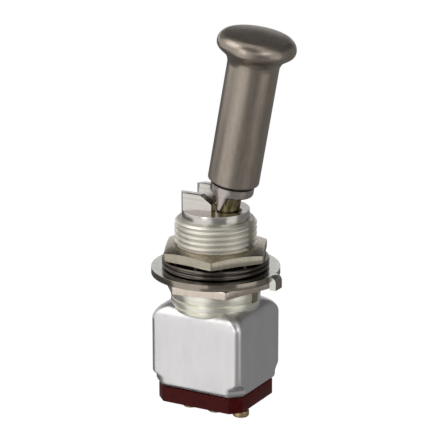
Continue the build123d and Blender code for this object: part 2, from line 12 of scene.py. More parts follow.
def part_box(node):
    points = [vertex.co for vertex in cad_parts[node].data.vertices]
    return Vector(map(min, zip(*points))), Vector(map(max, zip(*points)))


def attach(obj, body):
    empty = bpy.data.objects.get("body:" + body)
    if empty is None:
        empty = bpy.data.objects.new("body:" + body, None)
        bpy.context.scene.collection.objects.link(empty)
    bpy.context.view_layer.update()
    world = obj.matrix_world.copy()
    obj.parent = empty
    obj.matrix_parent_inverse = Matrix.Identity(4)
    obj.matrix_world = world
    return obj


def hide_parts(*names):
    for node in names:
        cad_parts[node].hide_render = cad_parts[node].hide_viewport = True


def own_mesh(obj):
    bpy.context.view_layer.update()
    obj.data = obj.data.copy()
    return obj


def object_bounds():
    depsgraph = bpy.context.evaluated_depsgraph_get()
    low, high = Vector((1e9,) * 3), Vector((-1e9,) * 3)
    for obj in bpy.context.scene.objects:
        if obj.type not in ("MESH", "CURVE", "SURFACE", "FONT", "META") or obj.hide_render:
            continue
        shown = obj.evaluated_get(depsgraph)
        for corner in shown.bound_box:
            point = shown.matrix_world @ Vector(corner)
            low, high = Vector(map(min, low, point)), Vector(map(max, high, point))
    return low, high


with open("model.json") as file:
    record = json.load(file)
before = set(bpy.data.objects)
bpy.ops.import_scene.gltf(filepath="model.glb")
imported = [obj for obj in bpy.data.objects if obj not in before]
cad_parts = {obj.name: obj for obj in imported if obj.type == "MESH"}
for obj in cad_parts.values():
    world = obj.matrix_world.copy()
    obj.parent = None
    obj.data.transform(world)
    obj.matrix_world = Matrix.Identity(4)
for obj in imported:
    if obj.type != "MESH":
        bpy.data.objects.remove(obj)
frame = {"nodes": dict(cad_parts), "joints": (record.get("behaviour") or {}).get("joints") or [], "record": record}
CAD_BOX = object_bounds()

bl_info = {
    "name": "Locking toggle switch",
    "version": (1, 0, 0),
    "blender": (4, 5, 0),
    "location": "3D View > Sidebar > Toggle switch",
    "description": "Builds the visible pieces of a locking-lever toggle switch around its packed frame",
    "category": "Object",
}

MM = 0.001
ROUND = 2 * pi
ON_AXIS = 1e-7  # a turned point nearer to the axis than this lies on it
HAIR = 0.006 * MM  # the finer meshes stay this far inside the CAD box
JOINTS = {joint["name"]: joint for joint in frame["joints"]}
PIVOT = Vector(JOINTS["lever_tilt"]["pos_m"])
LEVER_DIRECTION = Vector(JOINTS["knob_pull"]["axis"]).normalized()
LEVER_ACROSS = Vector((LEVER_DIRECTION.z, 0, -LEVER_DIRECTION.x))
LEVER_TURN = Matrix((LEVER_ACROSS, (0, 1, 0), LEVER_DIRECTION)).transposed().to_4x4()
LEVER_MATRIX = Matrix.Translation(PIVOT) @ LEVER_TURN


# ---- sizes read from the frame
def level(node, side):
    """Lowest (0) or highest (1) level of a CAD node."""
    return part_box(node)[side][2]


def half_width(node, axis):
    """Half of a CAD node's size across one axis."""
    low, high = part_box(node)
    return (high[axis] - low[axis]) / 2


def middle_x(node):
    """Middle of a CAD node along X."""
    low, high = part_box(node)
    return (low[0] + high[0]) / 2


def along_lever(node):
    """Lowest and highest place of a CAD node along the lever, and its greatest distance from that line."""
    places = []
    reach = 0.0
    for vertex in frame["nodes"][node].data.vertices:
        offset = vertex.co - PIVOT
        place = offset.dot(LEVER_DIRECTION)
        places.append(place)
        reach = max(reach, (offset - place * LEVER_DIRECTION).length)
    return min(places), max(places), reach


MOUNTS = {mount["name"]: mount for mount in frame["record"]["mounts"]}
THREAD_R = MOUNTS["panel_bushing"]["dims"]["r_mm"] * MM
UPPER_NUT_TOP = level("upper_nut", 1)
LOWER_NUT_BOTTOM, LOWER_NUT_TOP = level("lower_nut", 0), level("lower_nut", 1)
LOCK_WASHER_BOTTOM, LOCK_WASHER_TOP = level("lock_washer", 0), level("lock_washer", 1)
KEYING_WASHER_TOP = level("keying_washer", 1)
KEYING_WASHER_BOTTOM = LOWER_NUT_TOP  # its tab reaches lower
THREAD_TOP = -UPPER_NUT_TOP  # the origin stands halfway up the exposed thread
EAR_TOP = level("bushing", 1)
CAN_BOTTOM, CAN_TOP = level("housing", 0), level("housing", 1)
CAN_HALF_X, CAN_HALF_Y = half_width("housing", 0), half_width("housing", 1)
BASE_BOTTOM, BASE_TOP = level("base", 0), level("base", 1)
BASE_HALF_X, BASE_HALF_Y = half_width("base", 0), half_width("base", 1)
TERMINALS = ("terminal_left", "terminal_common", "terminal_right")
TERMINAL_END = level("terminal_common", 0)
FLOOR = TERMINAL_END - 45 * MM
MIDDLE = (CAD_BOX[0] + CAD_BOX[1]) / 2


# ---- sizes and colours a user may change
def a_length(label, text, default_mm):
    """One length, given in millimetres and kept in metres."""
    return FloatProperty(
        name=label, description=text, default=default_mm * MM, subtype="DISTANCE", unit="LENGTH", precision=5
    )


def an_angle(label, text, default_degrees):
    """One angle, given in degrees and kept in radians."""
    return FloatProperty(
        name=label, description=text, default=radians(default_degrees), subtype="ANGLE", unit="ROTATION"
    )


def a_count(label, text, default):
    """One count."""
    return IntProperty(name=label, description=text, default=default, min=1)


def a_colour(label, text, default):
    """One surface colour."""
    return FloatVectorProperty(
        name=label, description=text, default=default, size=3, min=0, max=1, subtype="COLOR"
    )


class SwitchSizes(bpy.types.PropertyGroup):
    """Sizes of the dressed pieces that the frame does not give."""

    thread_pitch: a_length("Thread pitch", "Distance between neighbouring threads", 0.794)
    thread_depth: a_length("Thread depth", "Depth of the thread's groove", 0.4)
    thread_chamfer: a_length("Thread chamfer", "Lead-in at the top of the thread", 0.45)
    thread_overlap: a_length("Thread overlap", "How far the thread runs down into the upper nut", 0.6)
    keyway_width: a_length("Keyway width", "Width of the groove down the bushing", 1.75)
    keyway_depth: a_length("Keyway depth", "Depth of the groove down the bushing", 0.9)
    gate_radius: a_length("Gate radius", "Radius of the lock gate's collar and ears", 4.9)
    gate_neck: a_length("Gate neck", "Height of the collar under the ears", 1.4)
    ear_half_width: a_length("Ear half width", "Half the width over the ears' outer flats", 3.4)
    channel_half_width: a_length("Channel half width", "Half the width between the ears", 2.15)
    ear_end: a_length("Ear end", "Where the ears' stop faces stand along the lever's swing", 1.15)
    ear_flat_end: a_length("Ear flat end", "Where the ears' flat tops turn into their ramps", -0.6)
    ear_ramp_drop: a_length("Ear ramp drop", "How far the ramps fall", 1.15)
    edge_radius: a_length("Edge radius", "Rounding of machined edges", 0.07)
    slot_clearance: a_length("Slot clearance", "Room round the shaft in the bushing's slot", 0.35)
    channel_lead_length: a_length("Channel lead length", "Length of the channel's lead-in", 0.7)
    channel_lead_depth: a_length("Channel lead depth", "Depth of the channel's lead-in", 0.15)
    shoulder_radius: a_length("Shoulder radius", "Radius of the bushing's shoulder", 6.5)
    shoulder_skirt: a_length("Shoulder skirt", "How far the shoulder reaches over the can", 0.9)
    shoulder_groove: a_length("Shoulder groove", "Depth and width of the shoulder's grooves", 0.16)
    neck_radius: a_length("Neck radius", "Radius of the bushing's neck in the can's top", 4.4)
    nut_flats: a_length("Nut across flats", "Width of the hexagon nuts", 14.29)
    nut_face_radius: a_length("Nut face radius", "Radius where the nut's crown begins", 6.1)
    nut_cone_angle: an_angle("Nut crown angle", "Slope of the nut's crown", 15)
    washer_bore_radius: a_length("Washer bore radius", "Radius of the washers' bores", 6.05)
    washer_edge: a_length("Washer edge", "Rounding of the keying washer's stamped edges", 0.13)
    key_clearance: a_length("Key clearance", "Room round the washer's tongue in the keyway", 0.12)
    lock_rim_width: a_length("Lock washer rim", "Width of the lock washer's rim", 1.0)
    lock_rim_edge: a_length("Lock washer edge", "Rounding of the lock washer's rim", 0.28)
    lock_rim_groove: a_length("Lock washer groove", "Depth of the groove round the lock washer", 0.4)
    lock_tooth_sheet: a_length("Lock tooth sheet", "Thickness of the lock washer's teeth", 0.6)
    lock_tooth_width: a_length("Lock tooth width", "Width of the lock washer's teeth", 2.2)
    lock_tooth_twist: an_angle("Lock tooth twist", "Twist of the lock washer's teeth", 35.5)
    lock_tooth_count: a_count("Lock teeth", "Number of the lock washer's teeth", 12)
    tab_width: a_length("Tab width", "Width of the keying washer's tab", 1.95)
    can_wall: a_length("Can wall", "Thickness of the can's sheet", 0.45)
    can_corner_radius: a_length("Can corner radius", "Radius of the can's upright edges", 0.95)
    can_crown_radius: a_length("Can crown radius", "Radius round the can's top", 2.55)
    can_lip_radius: a_length("Can lip radius", "Radius of the rolled lip", 0.85)
    stake_leg: a_length("Stake leg", "Size of the staked corner cuts", 1.75)
    stake_height: a_length("Stake height", "Height of the staked corners", 1.15)
    stake_ramp: a_length("Stake ramp", "Height over which a staked corner fades out", 1.2)
    base_corner_leg: a_length("Base corner leg", "Size of the base's corner cuts", 1.5)
    base_corner_radius: a_length("Base corner radius", "Rounding of the base's upright edges", 0.35)
    base_edge: a_length("Base edge", "Rounding of the base's lower edge", 0.22)
    base_step: a_length("Base step", "Room between the base's plug and the can", 0.5)
    sleeve_radius: a_length("Sleeve radius", "Radius of the pull sleeve's stem", 3.7)
    sleeve_bore_radius: a_length("Sleeve bore radius", "Radius of the pull sleeve's bore", 2.5)
    cap_height: a_length("Cap height", "Height of the sleeve's mushroom cap", 4.02)
    cap_under_rise: a_length("Cap under rise", "How far the cap's underside rises to its rim", 1.45)
    cap_dome: a_length("Cap dome", "How far the cap's top rises above its rim", 0.65)
    shaft_radius: a_length("Shaft radius", "Radius of the lever's shaft", 1.6)
    stub_radius: a_length("Stub radius", "Radius of the lever below its ball", 2.0)
    collar_height: a_length("Collar height", "Height of the lock collar above its teeth", 1.8)
    collar_edge: a_length("Collar edge", "Rounding of the lock collar's lower edge", 0.35)
    recess_depth: a_length("Recess depth", "Depth of the recess under the sleeve", 0.2)
    recess_height: a_length("Recess height", "Height of the recess under the sleeve", 0.44)
    tooth_wall: a_length("Tooth wall", "Thickness of the lock teeth", 0.8)
    tooth_tip_half: a_length("Tooth tip", "Half the width of a lock tooth's tip", 0.15)
    tooth_half_angle: an_angle("Tooth half angle", "Slope of a lock tooth's sides", 21)
    tooth_root_radius: a_length("Tooth root radius", "Rounding at a lock tooth's root", 0.4)
    knob_spring_wire: a_length("Sleeve spring wire", "Thickness of the sleeve spring's wire", 0.5)
    knob_spring_turns: a_count("Sleeve spring turns", "Number of the sleeve spring's turns", 7)
    plunger_spring_wire: a_length("Plunger spring wire", "Thickness of the plunger spring's wire", 0.3)
    plunger_spring_turns: a_count("Plunger spring turns", "Number of the plunger spring's turns", 5)
    terminal_neck_radius: a_length("Terminal neck radius", "Radius of the terminals' necks", 0.85)


class SwitchColours(bpy.types.PropertyGroup):
    """Colours of the finishes."""

    sleeve: a_colour("Sleeve", "Gun-metal lacquer", (0.40, 0.345, 0.285))
    collar: a_colour("Lock collar", "Turned steel", (0.52, 0.46, 0.43))
    lever: a_colour("Lever", "Darkened brass", (0.25, 0.215, 0.115))
    bushing: a_colour("Bushing", "Satin nickel plate", (0.90, 0.875, 0.78))
    thread: a_colour("Thread", "Matt nickel plate", (0.98, 0.935, 0.855))
    # painted shade: the bushing between the nuts is coloured near black so the gaps round the washers read as
    # shade
    core: a_colour("Bushing under the nuts", "Nickel plate darkened as painted shade", (0.11, 0.10, 0.085))
    gate: a_colour("Gate", "Milled and plated faces", (0.68, 0.64, 0.61))
    # painted light and shade: both nuts share one warm nickel plate; the mounting nut is coloured darker and the
    # backing nut lighter for how light falls on each
    nut: a_colour("Mounting nut", "Nickel plate, coloured darker as painted shade", (0.47, 0.425, 0.345))
    backing_nut: a_colour("Backing nut", "Nickel plate, coloured lighter as painted light", (0.72, 0.62, 0.54))
    washer: a_colour("Keying washer", "Bright plated spring steel", (0.66, 0.66, 0.61))
    # dark oiled steel, made darker still as painted shade so the teeth in the gap under the nut read black
    lock_washer: a_colour("Lock washer", "Dark spring steel, oiled and darkened further as painted shade", (0.15, 0.13, 0.115))
    can: a_colour("Can", "Drawn aluminium", (0.75, 0.735, 0.73))
    base: a_colour("Base", "Red-brown phenolic", (0.075, 0.004, 0.003))
    terminal: a_colour("Terminals", "Tinned brass", (0.60, 0.44, 0.26))


# ---- meshes
def soften(corners, steps=5, closed=True):
    """Round an outline's corners. Each corner is (x, y, radius); a radius of 0 keeps it sharp."""
    points = []
    count = len(corners)
    for index, (x, y, radius) in enumerate(corners):
        corner = Vector((x, y))
        if radius <= 0 or (not closed and index in (0, count - 1)):
            points.append(corner)
            continue
        before = Vector(corners[index - 1][:2]) - corner
        after = Vector(corners[(index + 1) % count][:2]) - corner
        opening = before.angle(after)
        run = min(radius / tan(opening / 2), 0.9 * before.length, 0.9 * after.length)
        radius = run * tan(opening / 2)
        before.normalize()
        after.normalize()
        centre = corner + (before + after).normalized() * radius / sin(opening / 2)
        start = corner + before * run - centre
        end = corner + after * run - centre
        sweep = pi - opening
        for step in range(steps + 1):
            share = step / steps
            points.append(centre + (start * sin((1 - share) * sweep) + end * sin(share * sweep)) / sin(sweep))
    return points


def rectangle(low_x, high_x, low_y, high_y):
    """The four corners of a rectangle."""
    return [(low_x, low_y), (high_x, low_y), (high_x, high_y), (low_x, high_y)]


def quarter_turn(steps):
    """Sines and cosines of evenly spaced angles from 0 to 90 degrees."""
    angles = [step / steps * pi / 2 for step in range(steps + 1)]
    return [(sin(angle), cos(angle)) for angle in angles]


def lathe(profile, segments=192):
    """Turn a closed (radius, height) outline about the upright axis."""
    ways = [(cos(ROUND * step / segments), sin(ROUND * step / segments)) for step in range(segments)]
    rings = []
    for reach, height in profile:
        if reach < ON_AXIS:
            rings.append([(0, 0, height)])
        else:
            rings.append([(reach * x, reach * y, height) for x, y in ways])
    return ring_solid(rings)


def turned_ring(inner, outer, low, high, segments=192):
    """A plain ring between two levels, or a disc if its inner radius is 0."""
    return lathe(rectangle(inner, outer, low, high), segments)


def bridge(mesh, row, following):
    """Fill the band between two rings; a ring may be a single point."""
    count = max(len(row), len(following))
    if count == 1:
        return
    for step in range(count):
        near, far = step % len(row), (step + 1) % len(row)
        near_next, far_next = step % len(following), (step + 1) % len(following)
        corners = [row[near], row[far], following[far_next], following[near_next]]
        unique = list(dict.fromkeys(corners))
        if len(unique) > 2:
            mesh.faces.new(unique)


def ring_solid(rings, capped=False):
    """Skin a chain of rings, each a list of points or a single point.

    The chain runs back to its first ring, or has flat faces at both ends if it is capped.
    """
    mesh = bmesh.new()
    rows = [[mesh.verts.new(point) for point in ring] for ring in rings]
    for row, following in zip(rows, rows[1:] if capped else rows[1:] + rows[:1]):
        bridge(mesh, row, following)
    if capped:
        mesh.faces.new(rows[0])
        mesh.faces.new(rows[-1])
    return mesh


def prism(outline, start, end, upright):
    """Extrude an outline: along Z between two levels if upright, otherwise an XZ outline along Y."""
    if upright:
        rings = [[(x, y, depth) for x, y in outline] for depth in (start, end)]
    else:
        rings = [[(x, depth, z) for x, z in outline] for depth in (start, end)]
    return ring_solid(rings, capped=True)


def add_object(name, data):
    """Put new data into the scene as an object."""
    item = bpy.data.objects.new(name, data)
    bpy.context.scene.collection.objects.link(item)
    return item


def add_mesh(mesh, name):
    """Put a bmesh into the scene as an object."""
    data = bpy.data.meshes.new(name)
    mesh.to_mesh(data)
    mesh.free()
    return add_object(name, data)


def shade_smooth(data, sharp_angle):
    """Shade a mesh smooth, with crisp edges."""
    data.polygons.foreach_set("use_smooth", [True] * len(data.polygons))
    data.set_sharp_from_angle(angle=radians(sharp_angle))


def to_object(mesh, name, sharp_angle=35):
    """Turn a bmesh into a smooth-shaded object with crisp edges."""
    bmesh.ops.remove_doubles(mesh, verts=mesh.verts, dist=1e-8)
    bmesh.ops.recalc_face_normals(mesh, faces=mesh.faces)
    piece = add_mesh(mesh, name)
    shade_smooth(piece.data, sharp_angle)
    return piece


def tool(mesh):
    """A solid that only cuts or joins another."""
    return to_object(mesh, "cutter")


def combine(piece, cutters, operation="DIFFERENCE"):
    """Cut away or join solids, exactly, and drop the cutters."""
    for cutter in cutters:
        step = piece.modifiers.new("solid", "BOOLEAN")
        step.operation = operation
        step.solver = "EXACT"
        step.object = cutter
    bake(piece)
    for cutter in cutters:
        bpy.data.objects.remove(cutter)


def bake(piece, sharp_angle=35):
    """Apply a piece's modifiers to its mesh. Without an angle, its normals stay as they come."""
    graph = bpy.context.evaluated_depsgraph_get()
    data = bpy.data.meshes.new_from_object(piece.evaluated_get(graph))
    piece.modifiers.clear()
    old = piece.data
    piece.data = data
    bpy.data.meshes.remove(old)
    data.name = piece.name
    if sharp_angle is not None:
        shade_smooth(data, sharp_angle)


def ease_edges(piece, width, angle=30, steps=2):
    """Round the sharp edges a little and keep the faces flat."""
    edge = piece.modifiers.new("edges", "BEVEL")
    edge.width = width
    edge.segments = steps
    edge.limit_method = "ANGLE"
    edge.angle_limit = radians(angle)
    bake(piece)
    flat = piece.modifiers.new("flat_faces", "WEIGHTED_NORMAL")
    flat.keep_sharp = True
    bake(piece, None)


def finish_piece(piece, body, material, nodes=(), matrix=None):
    """Place a piece, give it its finish, tie it to its body and hide the CAD nodes it stands for."""
    if matrix is not None:
        place = piece.data.attributes.new("own_place", "FLOAT_VECTOR", "POINT")
        place.data.foreach_set("vector", [part for vertex in piece.data.vertices for part in vertex.co])
        piece.data.transform(matrix)
    piece.data.materials.clear()
    piece.data.materials.append(material)
    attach(piece, body)
    for node in nodes:
        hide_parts(node)
    return piece


# ---- finishes
def node_material(name):
    """A new material that uses nodes."""
    material = bpy.data.materials.new(name)
    material.use_nodes = True
    return material


def add_node(tree, kind, inputs=(), **settings):
    """Add a node, set its options and connect or set its inputs."""
    node = tree.nodes.new(kind)
    for key, value in settings.items():
        setattr(node, key, value)
    for key, value in dict(inputs).items():
        if isinstance(value, bpy.types.NodeSocket):
            tree.links.new(value, node.inputs[key])
        else:
            node.inputs[key].default_value = value
    return node


class Finish:
    """A small builder for one procedural material."""

    def __init__(self, name, colour, metallic, roughness, own_place=False):
        self.material = node_material(name)
        self.links = self.material.node_tree.links
        self.shader = self.material.node_tree.nodes["Principled BSDF"]
        self.colour = colour
        self.set("Base Color", (*colour, 1))
        self.set("Metallic", metallic)
        self.set("Roughness", roughness)
        if own_place:
            self.place = self.add("ShaderNodeAttribute", attribute_name="own_place").outputs["Vector"]
        else:
            self.place = self.add("ShaderNodeTexCoord").outputs["Object"]
        self.tint = None
        self.normal = None

    def set(self, socket, value):
        self.shader.inputs[socket].default_value = value

    def add(self, kind, inputs=(), **settings):
        return add_node(self.material.node_tree, kind, inputs, **settings)

    def vector(self, operation, *inputs):
        """Add a vector maths node."""
        return self.add("ShaderNodeVectorMath", dict(enumerate(inputs)), operation=operation)

    def stretched(self, scale):
        """The piece's own coordinates, in millimetres, scaled by axis."""
        factors = [share / MM for share in scale]
        return self.add("ShaderNodeMapping", {"Vector": self.place, "Scale": factors}).outputs["Vector"]

    def noise(self, scale, detail=4, rough=0.55):
        """Noise whose grain per millimetre is given for each axis."""
        inputs = {"Vector": self.stretched(scale), "Scale": 1, "Detail": detail, "Roughness": rough}
        return self.add("ShaderNodeTexNoise", inputs).outputs["Fac"]

    def rings(self, per_mm, detail=3, radial=False):
        """Lines left by turning: bands along the axis, or round it on a faced end."""
        split = self.add("ShaderNodeSeparateXYZ", {"Vector": self.stretched((1, 1, 1))})
        if radial:
            across = self.add("ShaderNodeCombineXYZ", {"X": split.outputs["X"], "Y": split.outputs["Y"]})
            value = self.vector("LENGTH", across.outputs["Vector"]).outputs["Value"]
        else:
            value = split.outputs["Z"]
        inputs = {"W": value, "Scale": per_mm, "Detail": detail, "Roughness": 0.6}
        return self.add("ShaderNodeTexNoise", inputs, noise_dimensions="1D").outputs["Fac"]

    def spread(self, value, low, high, start=0.3, end=0.7):
        """Map a noise value onto a range."""
        inputs = {"Value": value, "From Min": start, "From Max": end, "To Min": low, "To Max": high}
        return self.add("ShaderNodeMapRange", inputs).outputs["Result"]

    def vary_roughness(self, value, low, high):
        self.links.new(self.spread(value, low, high), self.shader.inputs["Roughness"])

    def tone(self, share, factor):
        """Multiply the colour by a grey or coloured factor where the share is high."""
        factor = factor if isinstance(factor, tuple) else (factor,) * 3
        mix = self.add("ShaderNodeMix", {"Factor": share}, data_type="RGBA", blend_type="MULTIPLY")
        mix.clamp_result = False
        if self.tint is None:
            mix.inputs["A"].default_value = (*self.colour, 1)
        else:
            self.links.new(self.tint, mix.inputs["A"])
        mix.inputs["B"].default_value = (*factor, 1)
        self.tint = mix.outputs["Result"]
        self.links.new(self.tint, self.shader.inputs["Base Color"])

    def mottle(self, value, factor, start=0.35, end=0.65):
        """Darken the colour where a noise value is high."""
        self.tone(self.spread(value, 0, 1, start, end), factor)

    def paint_outer_edge_shade(self, factor):
        """Painted shade: darken a stamped disc's outer rims, the faces that look straight away from its axis."""
        outward = self.vector("MULTIPLY", self.place, (1, 1, 0)).outputs["Vector"]
        way = self.vector("NORMALIZE", outward).outputs["Vector"]
        normal = self.add("ShaderNodeNewGeometry").outputs["Normal"]
        along = self.vector("DOT_PRODUCT", way, normal).outputs["Value"]
        self.tone(self.spread(along, 0, 1, 0.55, 0.95), factor)

    def paint_groove_shade(self, root_r, crest_r, factor):
        """Painted shade: darken the colour down in a thread's groove."""
        reach = self.vector("LENGTH", self.stretched((1, 1, 0))).outputs["Value"]
        self.tone(self.spread(reach, 1, 0, root_r / MM, crest_r / MM), factor)

    def relief(self, value, depth_mm, strength=1.0):
        """Raise or sink the surface by a noise value."""
        bump = self.add("ShaderNodeBump", {"Height": value, "Distance": depth_mm * MM, "Strength": strength})
        if self.normal is not None:
            self.links.new(self.normal, bump.inputs["Normal"])
        self.normal = bump.outputs["Normal"]
        self.links.new(self.normal, self.shader.inputs["Normal"])


def colours():
    return bpy.context.scene.switch_colours


def sizes():
    return bpy.context.scene.switch_sizes


def gunmetal_lacquer():
    finish = Finish("gunmetal_lacquer", colours().sleeve, 0.9, 0.4, own_place=True)
    finish.mottle(finish.noise((0.9, 0.9, 0.14)), 0.86)
    finish.mottle(finish.noise((2.5, 2.5, 0.8), detail=5), (0.9, 0.9, 0.92))
    finish.vary_roughness(finish.noise((1.6, 1.6, 0.3)), 0.27, 0.36)
    finish.relief(finish.noise((9, 9, 9), detail=2), 0.004, 0.4)
    return finish.material


def turned_steel():
    finish = Finish("turned_steel", colours().collar, 1.0, 0.3, own_place=True)
    finish.mottle(finish.rings(3.0), 0.86)
    finish.mottle(finish.noise((1.0, 1.0, 0.4)), 0.9)
    finish.vary_roughness(finish.noise((1.2, 1.2, 3)), 0.2, 0.3)
    finish.relief(finish.rings(9), 0.003, 0.6)
    return finish.material


def dark_brass(name, own_place):
    finish = Finish(name, colours().lever, 1.0, 0.3, own_place)
    finish.mottle(finish.noise((1.6, 1.6, 0.5)), (0.6, 0.6, 0.62))
    finish.vary_roughness(finish.noise((2, 2, 1)), 0.22, 0.4)
    finish.relief(finish.rings(9), 0.003, 0.5)
    return finish.material


def satin_nickel(
    name, colour, rough_low, rough_high, metallic=1.0, lines=0.88, radial=False, groove_shade=None
):
    """Nickel plate over turned metal, with fine tool lines."""
    finish = Finish(name, colour, metallic, (rough_low + rough_high) / 2)
    # optional painted shade down in the thread's grooves
    if groove_shade is not None:
        finish.paint_groove_shade(*groove_shade)
    finish.mottle(finish.noise((0.35, 0.35, 0.35), detail=2), (0.95, 0.96, 0.92))
    finish.mottle(finish.rings(2.6, radial=radial), lines)
    finish.vary_roughness(finish.noise((1.5, 1.5, 1.5)), rough_low, rough_high)
    finish.relief(finish.rings(8, radial=radial), 0.003, 0.5)
    return finish.material


def plated_spring_steel(name, colour, outer_edge_shade, rough_low, rough_high):
    finish = Finish(name, colour, 1.0, (rough_low + rough_high) / 2)
    finish.mottle(finish.noise((0.6, 0.6, 0.6)), 0.92)
    finish.mottle(finish.rings(1.6, radial=True), 0.94)
    # painted shade on the disc's outer rim
    finish.paint_outer_edge_shade(outer_edge_shade)
    finish.vary_roughness(finish.noise((1.3, 1.3, 1.3)), rough_low, rough_high)
    finish.relief(finish.noise((6, 6, 6), detail=2), 0.002, 0.4)
    return finish.material


def drawn_aluminium():
    finish = Finish("drawn_aluminium", colours().can, 1.0, 0.36)
    finish.mottle(finish.noise((0.5, 0.5, 0.16), detail=3), (0.95, 0.95, 0.96))
    finish.mottle(finish.noise((7, 7, 0.5), detail=3), 0.965)
    finish.vary_roughness(finish.noise((1.2, 1.2, 0.4)), 0.3, 0.42)
    finish.relief(finish.noise((10, 10, 1.2), detail=3), 0.0025, 0.5)
    finish.relief(finish.noise((0.3, 0.3, 0.3), detail=1), 0.05, 0.3)
    return finish.material


def phenolic():
    finish = Finish("phenolic", colours().base, 0.0, 0.2)
    finish.set("Specular IOR Level", 0.1)
    finish.mottle(finish.noise((1.5, 1.5, 1.5), detail=6), (0.6, 0.6, 0.6))
    finish.vary_roughness(finish.noise((2.5, 2.5, 2.5)), 0.14, 0.26)
    finish.relief(finish.noise((5, 5, 5), detail=3), 0.004, 0.4)
    return finish.material


def tinned_brass():
    finish = Finish("tinned_brass", colours().terminal, 1.0, 0.3)
    finish.mottle(finish.noise((1.2, 1.2, 1.2)), (0.8, 0.76, 0.7))
    finish.vary_roughness(finish.noise((2, 2, 2)), 0.22, 0.4)
    finish.relief(finish.rings(8), 0.003, 0.5)
    return finish.material


def plain_inner(name, colour, metallic, roughness, own_place=False):
    """A hidden piece's finish: slight mottling and a fine grain."""
    finish = Finish(name, colour, metallic, roughness, own_place)
    finish.mottle(finish.noise((1.5, 1.5, 1.5)), 0.8)
    finish.vary_roughness(finish.noise((2, 2, 2)), roughness * 0.85, roughness * 1.1)
    finish.relief(finish.noise((8, 8, 8), detail=2), 0.004, 0.4)
    return finish.material


# ---- shared shapes
def helical_thread(low, high, radius, pitch, depth, segments=192):
    """A closed threaded cylinder, with its rows laid along the helix and its ends cut flat."""
    crest, flank = 0.16, 0.34  # shares of the pitch
    start = 1.37  # turns below the lower end
    profile = [
        (0, 0),
        (crest, 0),
        (crest + flank * 0.5, 0.5),
        (crest + flank, 1),
        (1 - flank, 1),
        (1 - flank * 0.5, 0.5),
    ]
    per_turn = len(profile)
    turns = ceil((high - low) / pitch) + 2
    mesh = bmesh.new()
    rows = []
    for row in range((turns + 1) * per_turn):
        turn, place = divmod(row, per_turn)
        share, drop = profile[place]
        reach = radius - depth * drop
        ring = []
        for step in range(segments):
            angle = ROUND * step / segments
            height = low + (turn + step / segments - start) * pitch + share * pitch
            ring.append(mesh.verts.new((reach * cos(angle), reach * sin(angle), height)))
        rows.append(ring)
    for row in range(len(rows) - per_turn - 1):
        # the last column meets the first one a turn higher
        lower = rows[row] + [rows[row + per_turn][0]]
        upper = rows[row + 1] + [rows[row + per_turn + 1][0]]
        for step in range(segments):
            mesh.faces.new((lower[step], lower[step + 1], upper[step + 1], upper[step]))
    loose = [vertex for vertex in mesh.verts if not vertex.link_faces]
    bmesh.ops.delete(mesh, geom=loose, context="VERTS")
    for place, direction in ((low, -1), (high, 1)):
        everything = mesh.verts[:] + mesh.edges[:] + mesh.faces[:]
        cut = bmesh.ops.bisect_plane(
            mesh, geom=everything, plane_co=(0, 0, place), plane_no=(0, 0, direction), clear_outer=True
        )
        rim = [item for item in cut["geom_cut"] if isinstance(item, bmesh.types.BMEdge)]
        bmesh.ops.edgeloop_fill(mesh, edges=rim)
    return mesh


def hexagon_nut(name, node):
    """A hexagon nut with a crowned top, fitted to its CAD node."""
    low, high = level(node, 0), level(node, 1)
    edge = sizes().edge_radius
    bore = THREAD_R - sizes().thread_depth
    face_r = sizes().nut_face_radius
    slope = tan(sizes().nut_cone_angle)
    corner = sizes().nut_flats / 2 / cos(pi / 6)
    tip = max(frame["nodes"][node].data.vertices, key=lambda vertex: hypot(vertex.co.x, vertex.co.y)).co
    turns = [atan2(tip.y, tip.x) + side * pi / 3 for side in range(6)]
    rounded = soften([(corner * cos(turn), corner * sin(turn), 3.5 * edge) for turn in turns], steps=4)
    outline = []
    for start, end in zip(rounded, rounded[1:] + rounded[:1]):
        pieces = 20 if (end - start).length > 10 * edge else 1
        outline += [start.lerp(end, share / pieces) for share in range(pieces)]
    reaches = [point.length for point in outline]
    ways = [point.normalized() for point in outline]

    def ring(distances, height):
        """One ring round the nut; height turns a distance from the axis into a level."""
        return [(way.x * reach, way.y * reach, height(reach)) for way, reach in zip(ways, distances)]

    def round_ring(reach, height):
        return ring([reach] * len(ways), lambda _: height)

    def crown(reach):
        return high - slope * max(0, reach - face_r)

    rings = [
        round_ring(bore, low),
        round_ring(bore, high - edge),
        round_ring(THREAD_R + edge, high),
        round_ring(face_r, high),
    ]
    for share in (0.35, 0.7):
        rings.append(ring([face_r + (reach - edge - face_r) * share for reach in reaches], crown))
    for inset, drop in ((edge, 0), (edge * 0.3, edge * 0.2), (0, edge)):
        rings.append(ring([reach - inset for reach in reaches], lambda reach, drop=drop: crown(reach) - drop))
    for inset, rise in ((0, edge), (edge * 0.3, edge * 0.3), (edge, 0)):
        rings.append(ring([reach - inset for reach in reaches], lambda _, rise=rise: low + rise))
    return to_object(ring_solid(rings), name, 40)


# ---- operators
RUNNING_ROOM = 0.05 * MM  # between the lever and what turns or slides on it
COLLAR_EASE = 0.05 * MM  # rounding of the lock collar's small edges
COLLAR_WAYS = [(cos(ROUND * step / 720), sin(ROUND * step / 720)) for step in range(720)]


class PieceOperator:
    bl_options = {"REGISTER", "UNDO"}


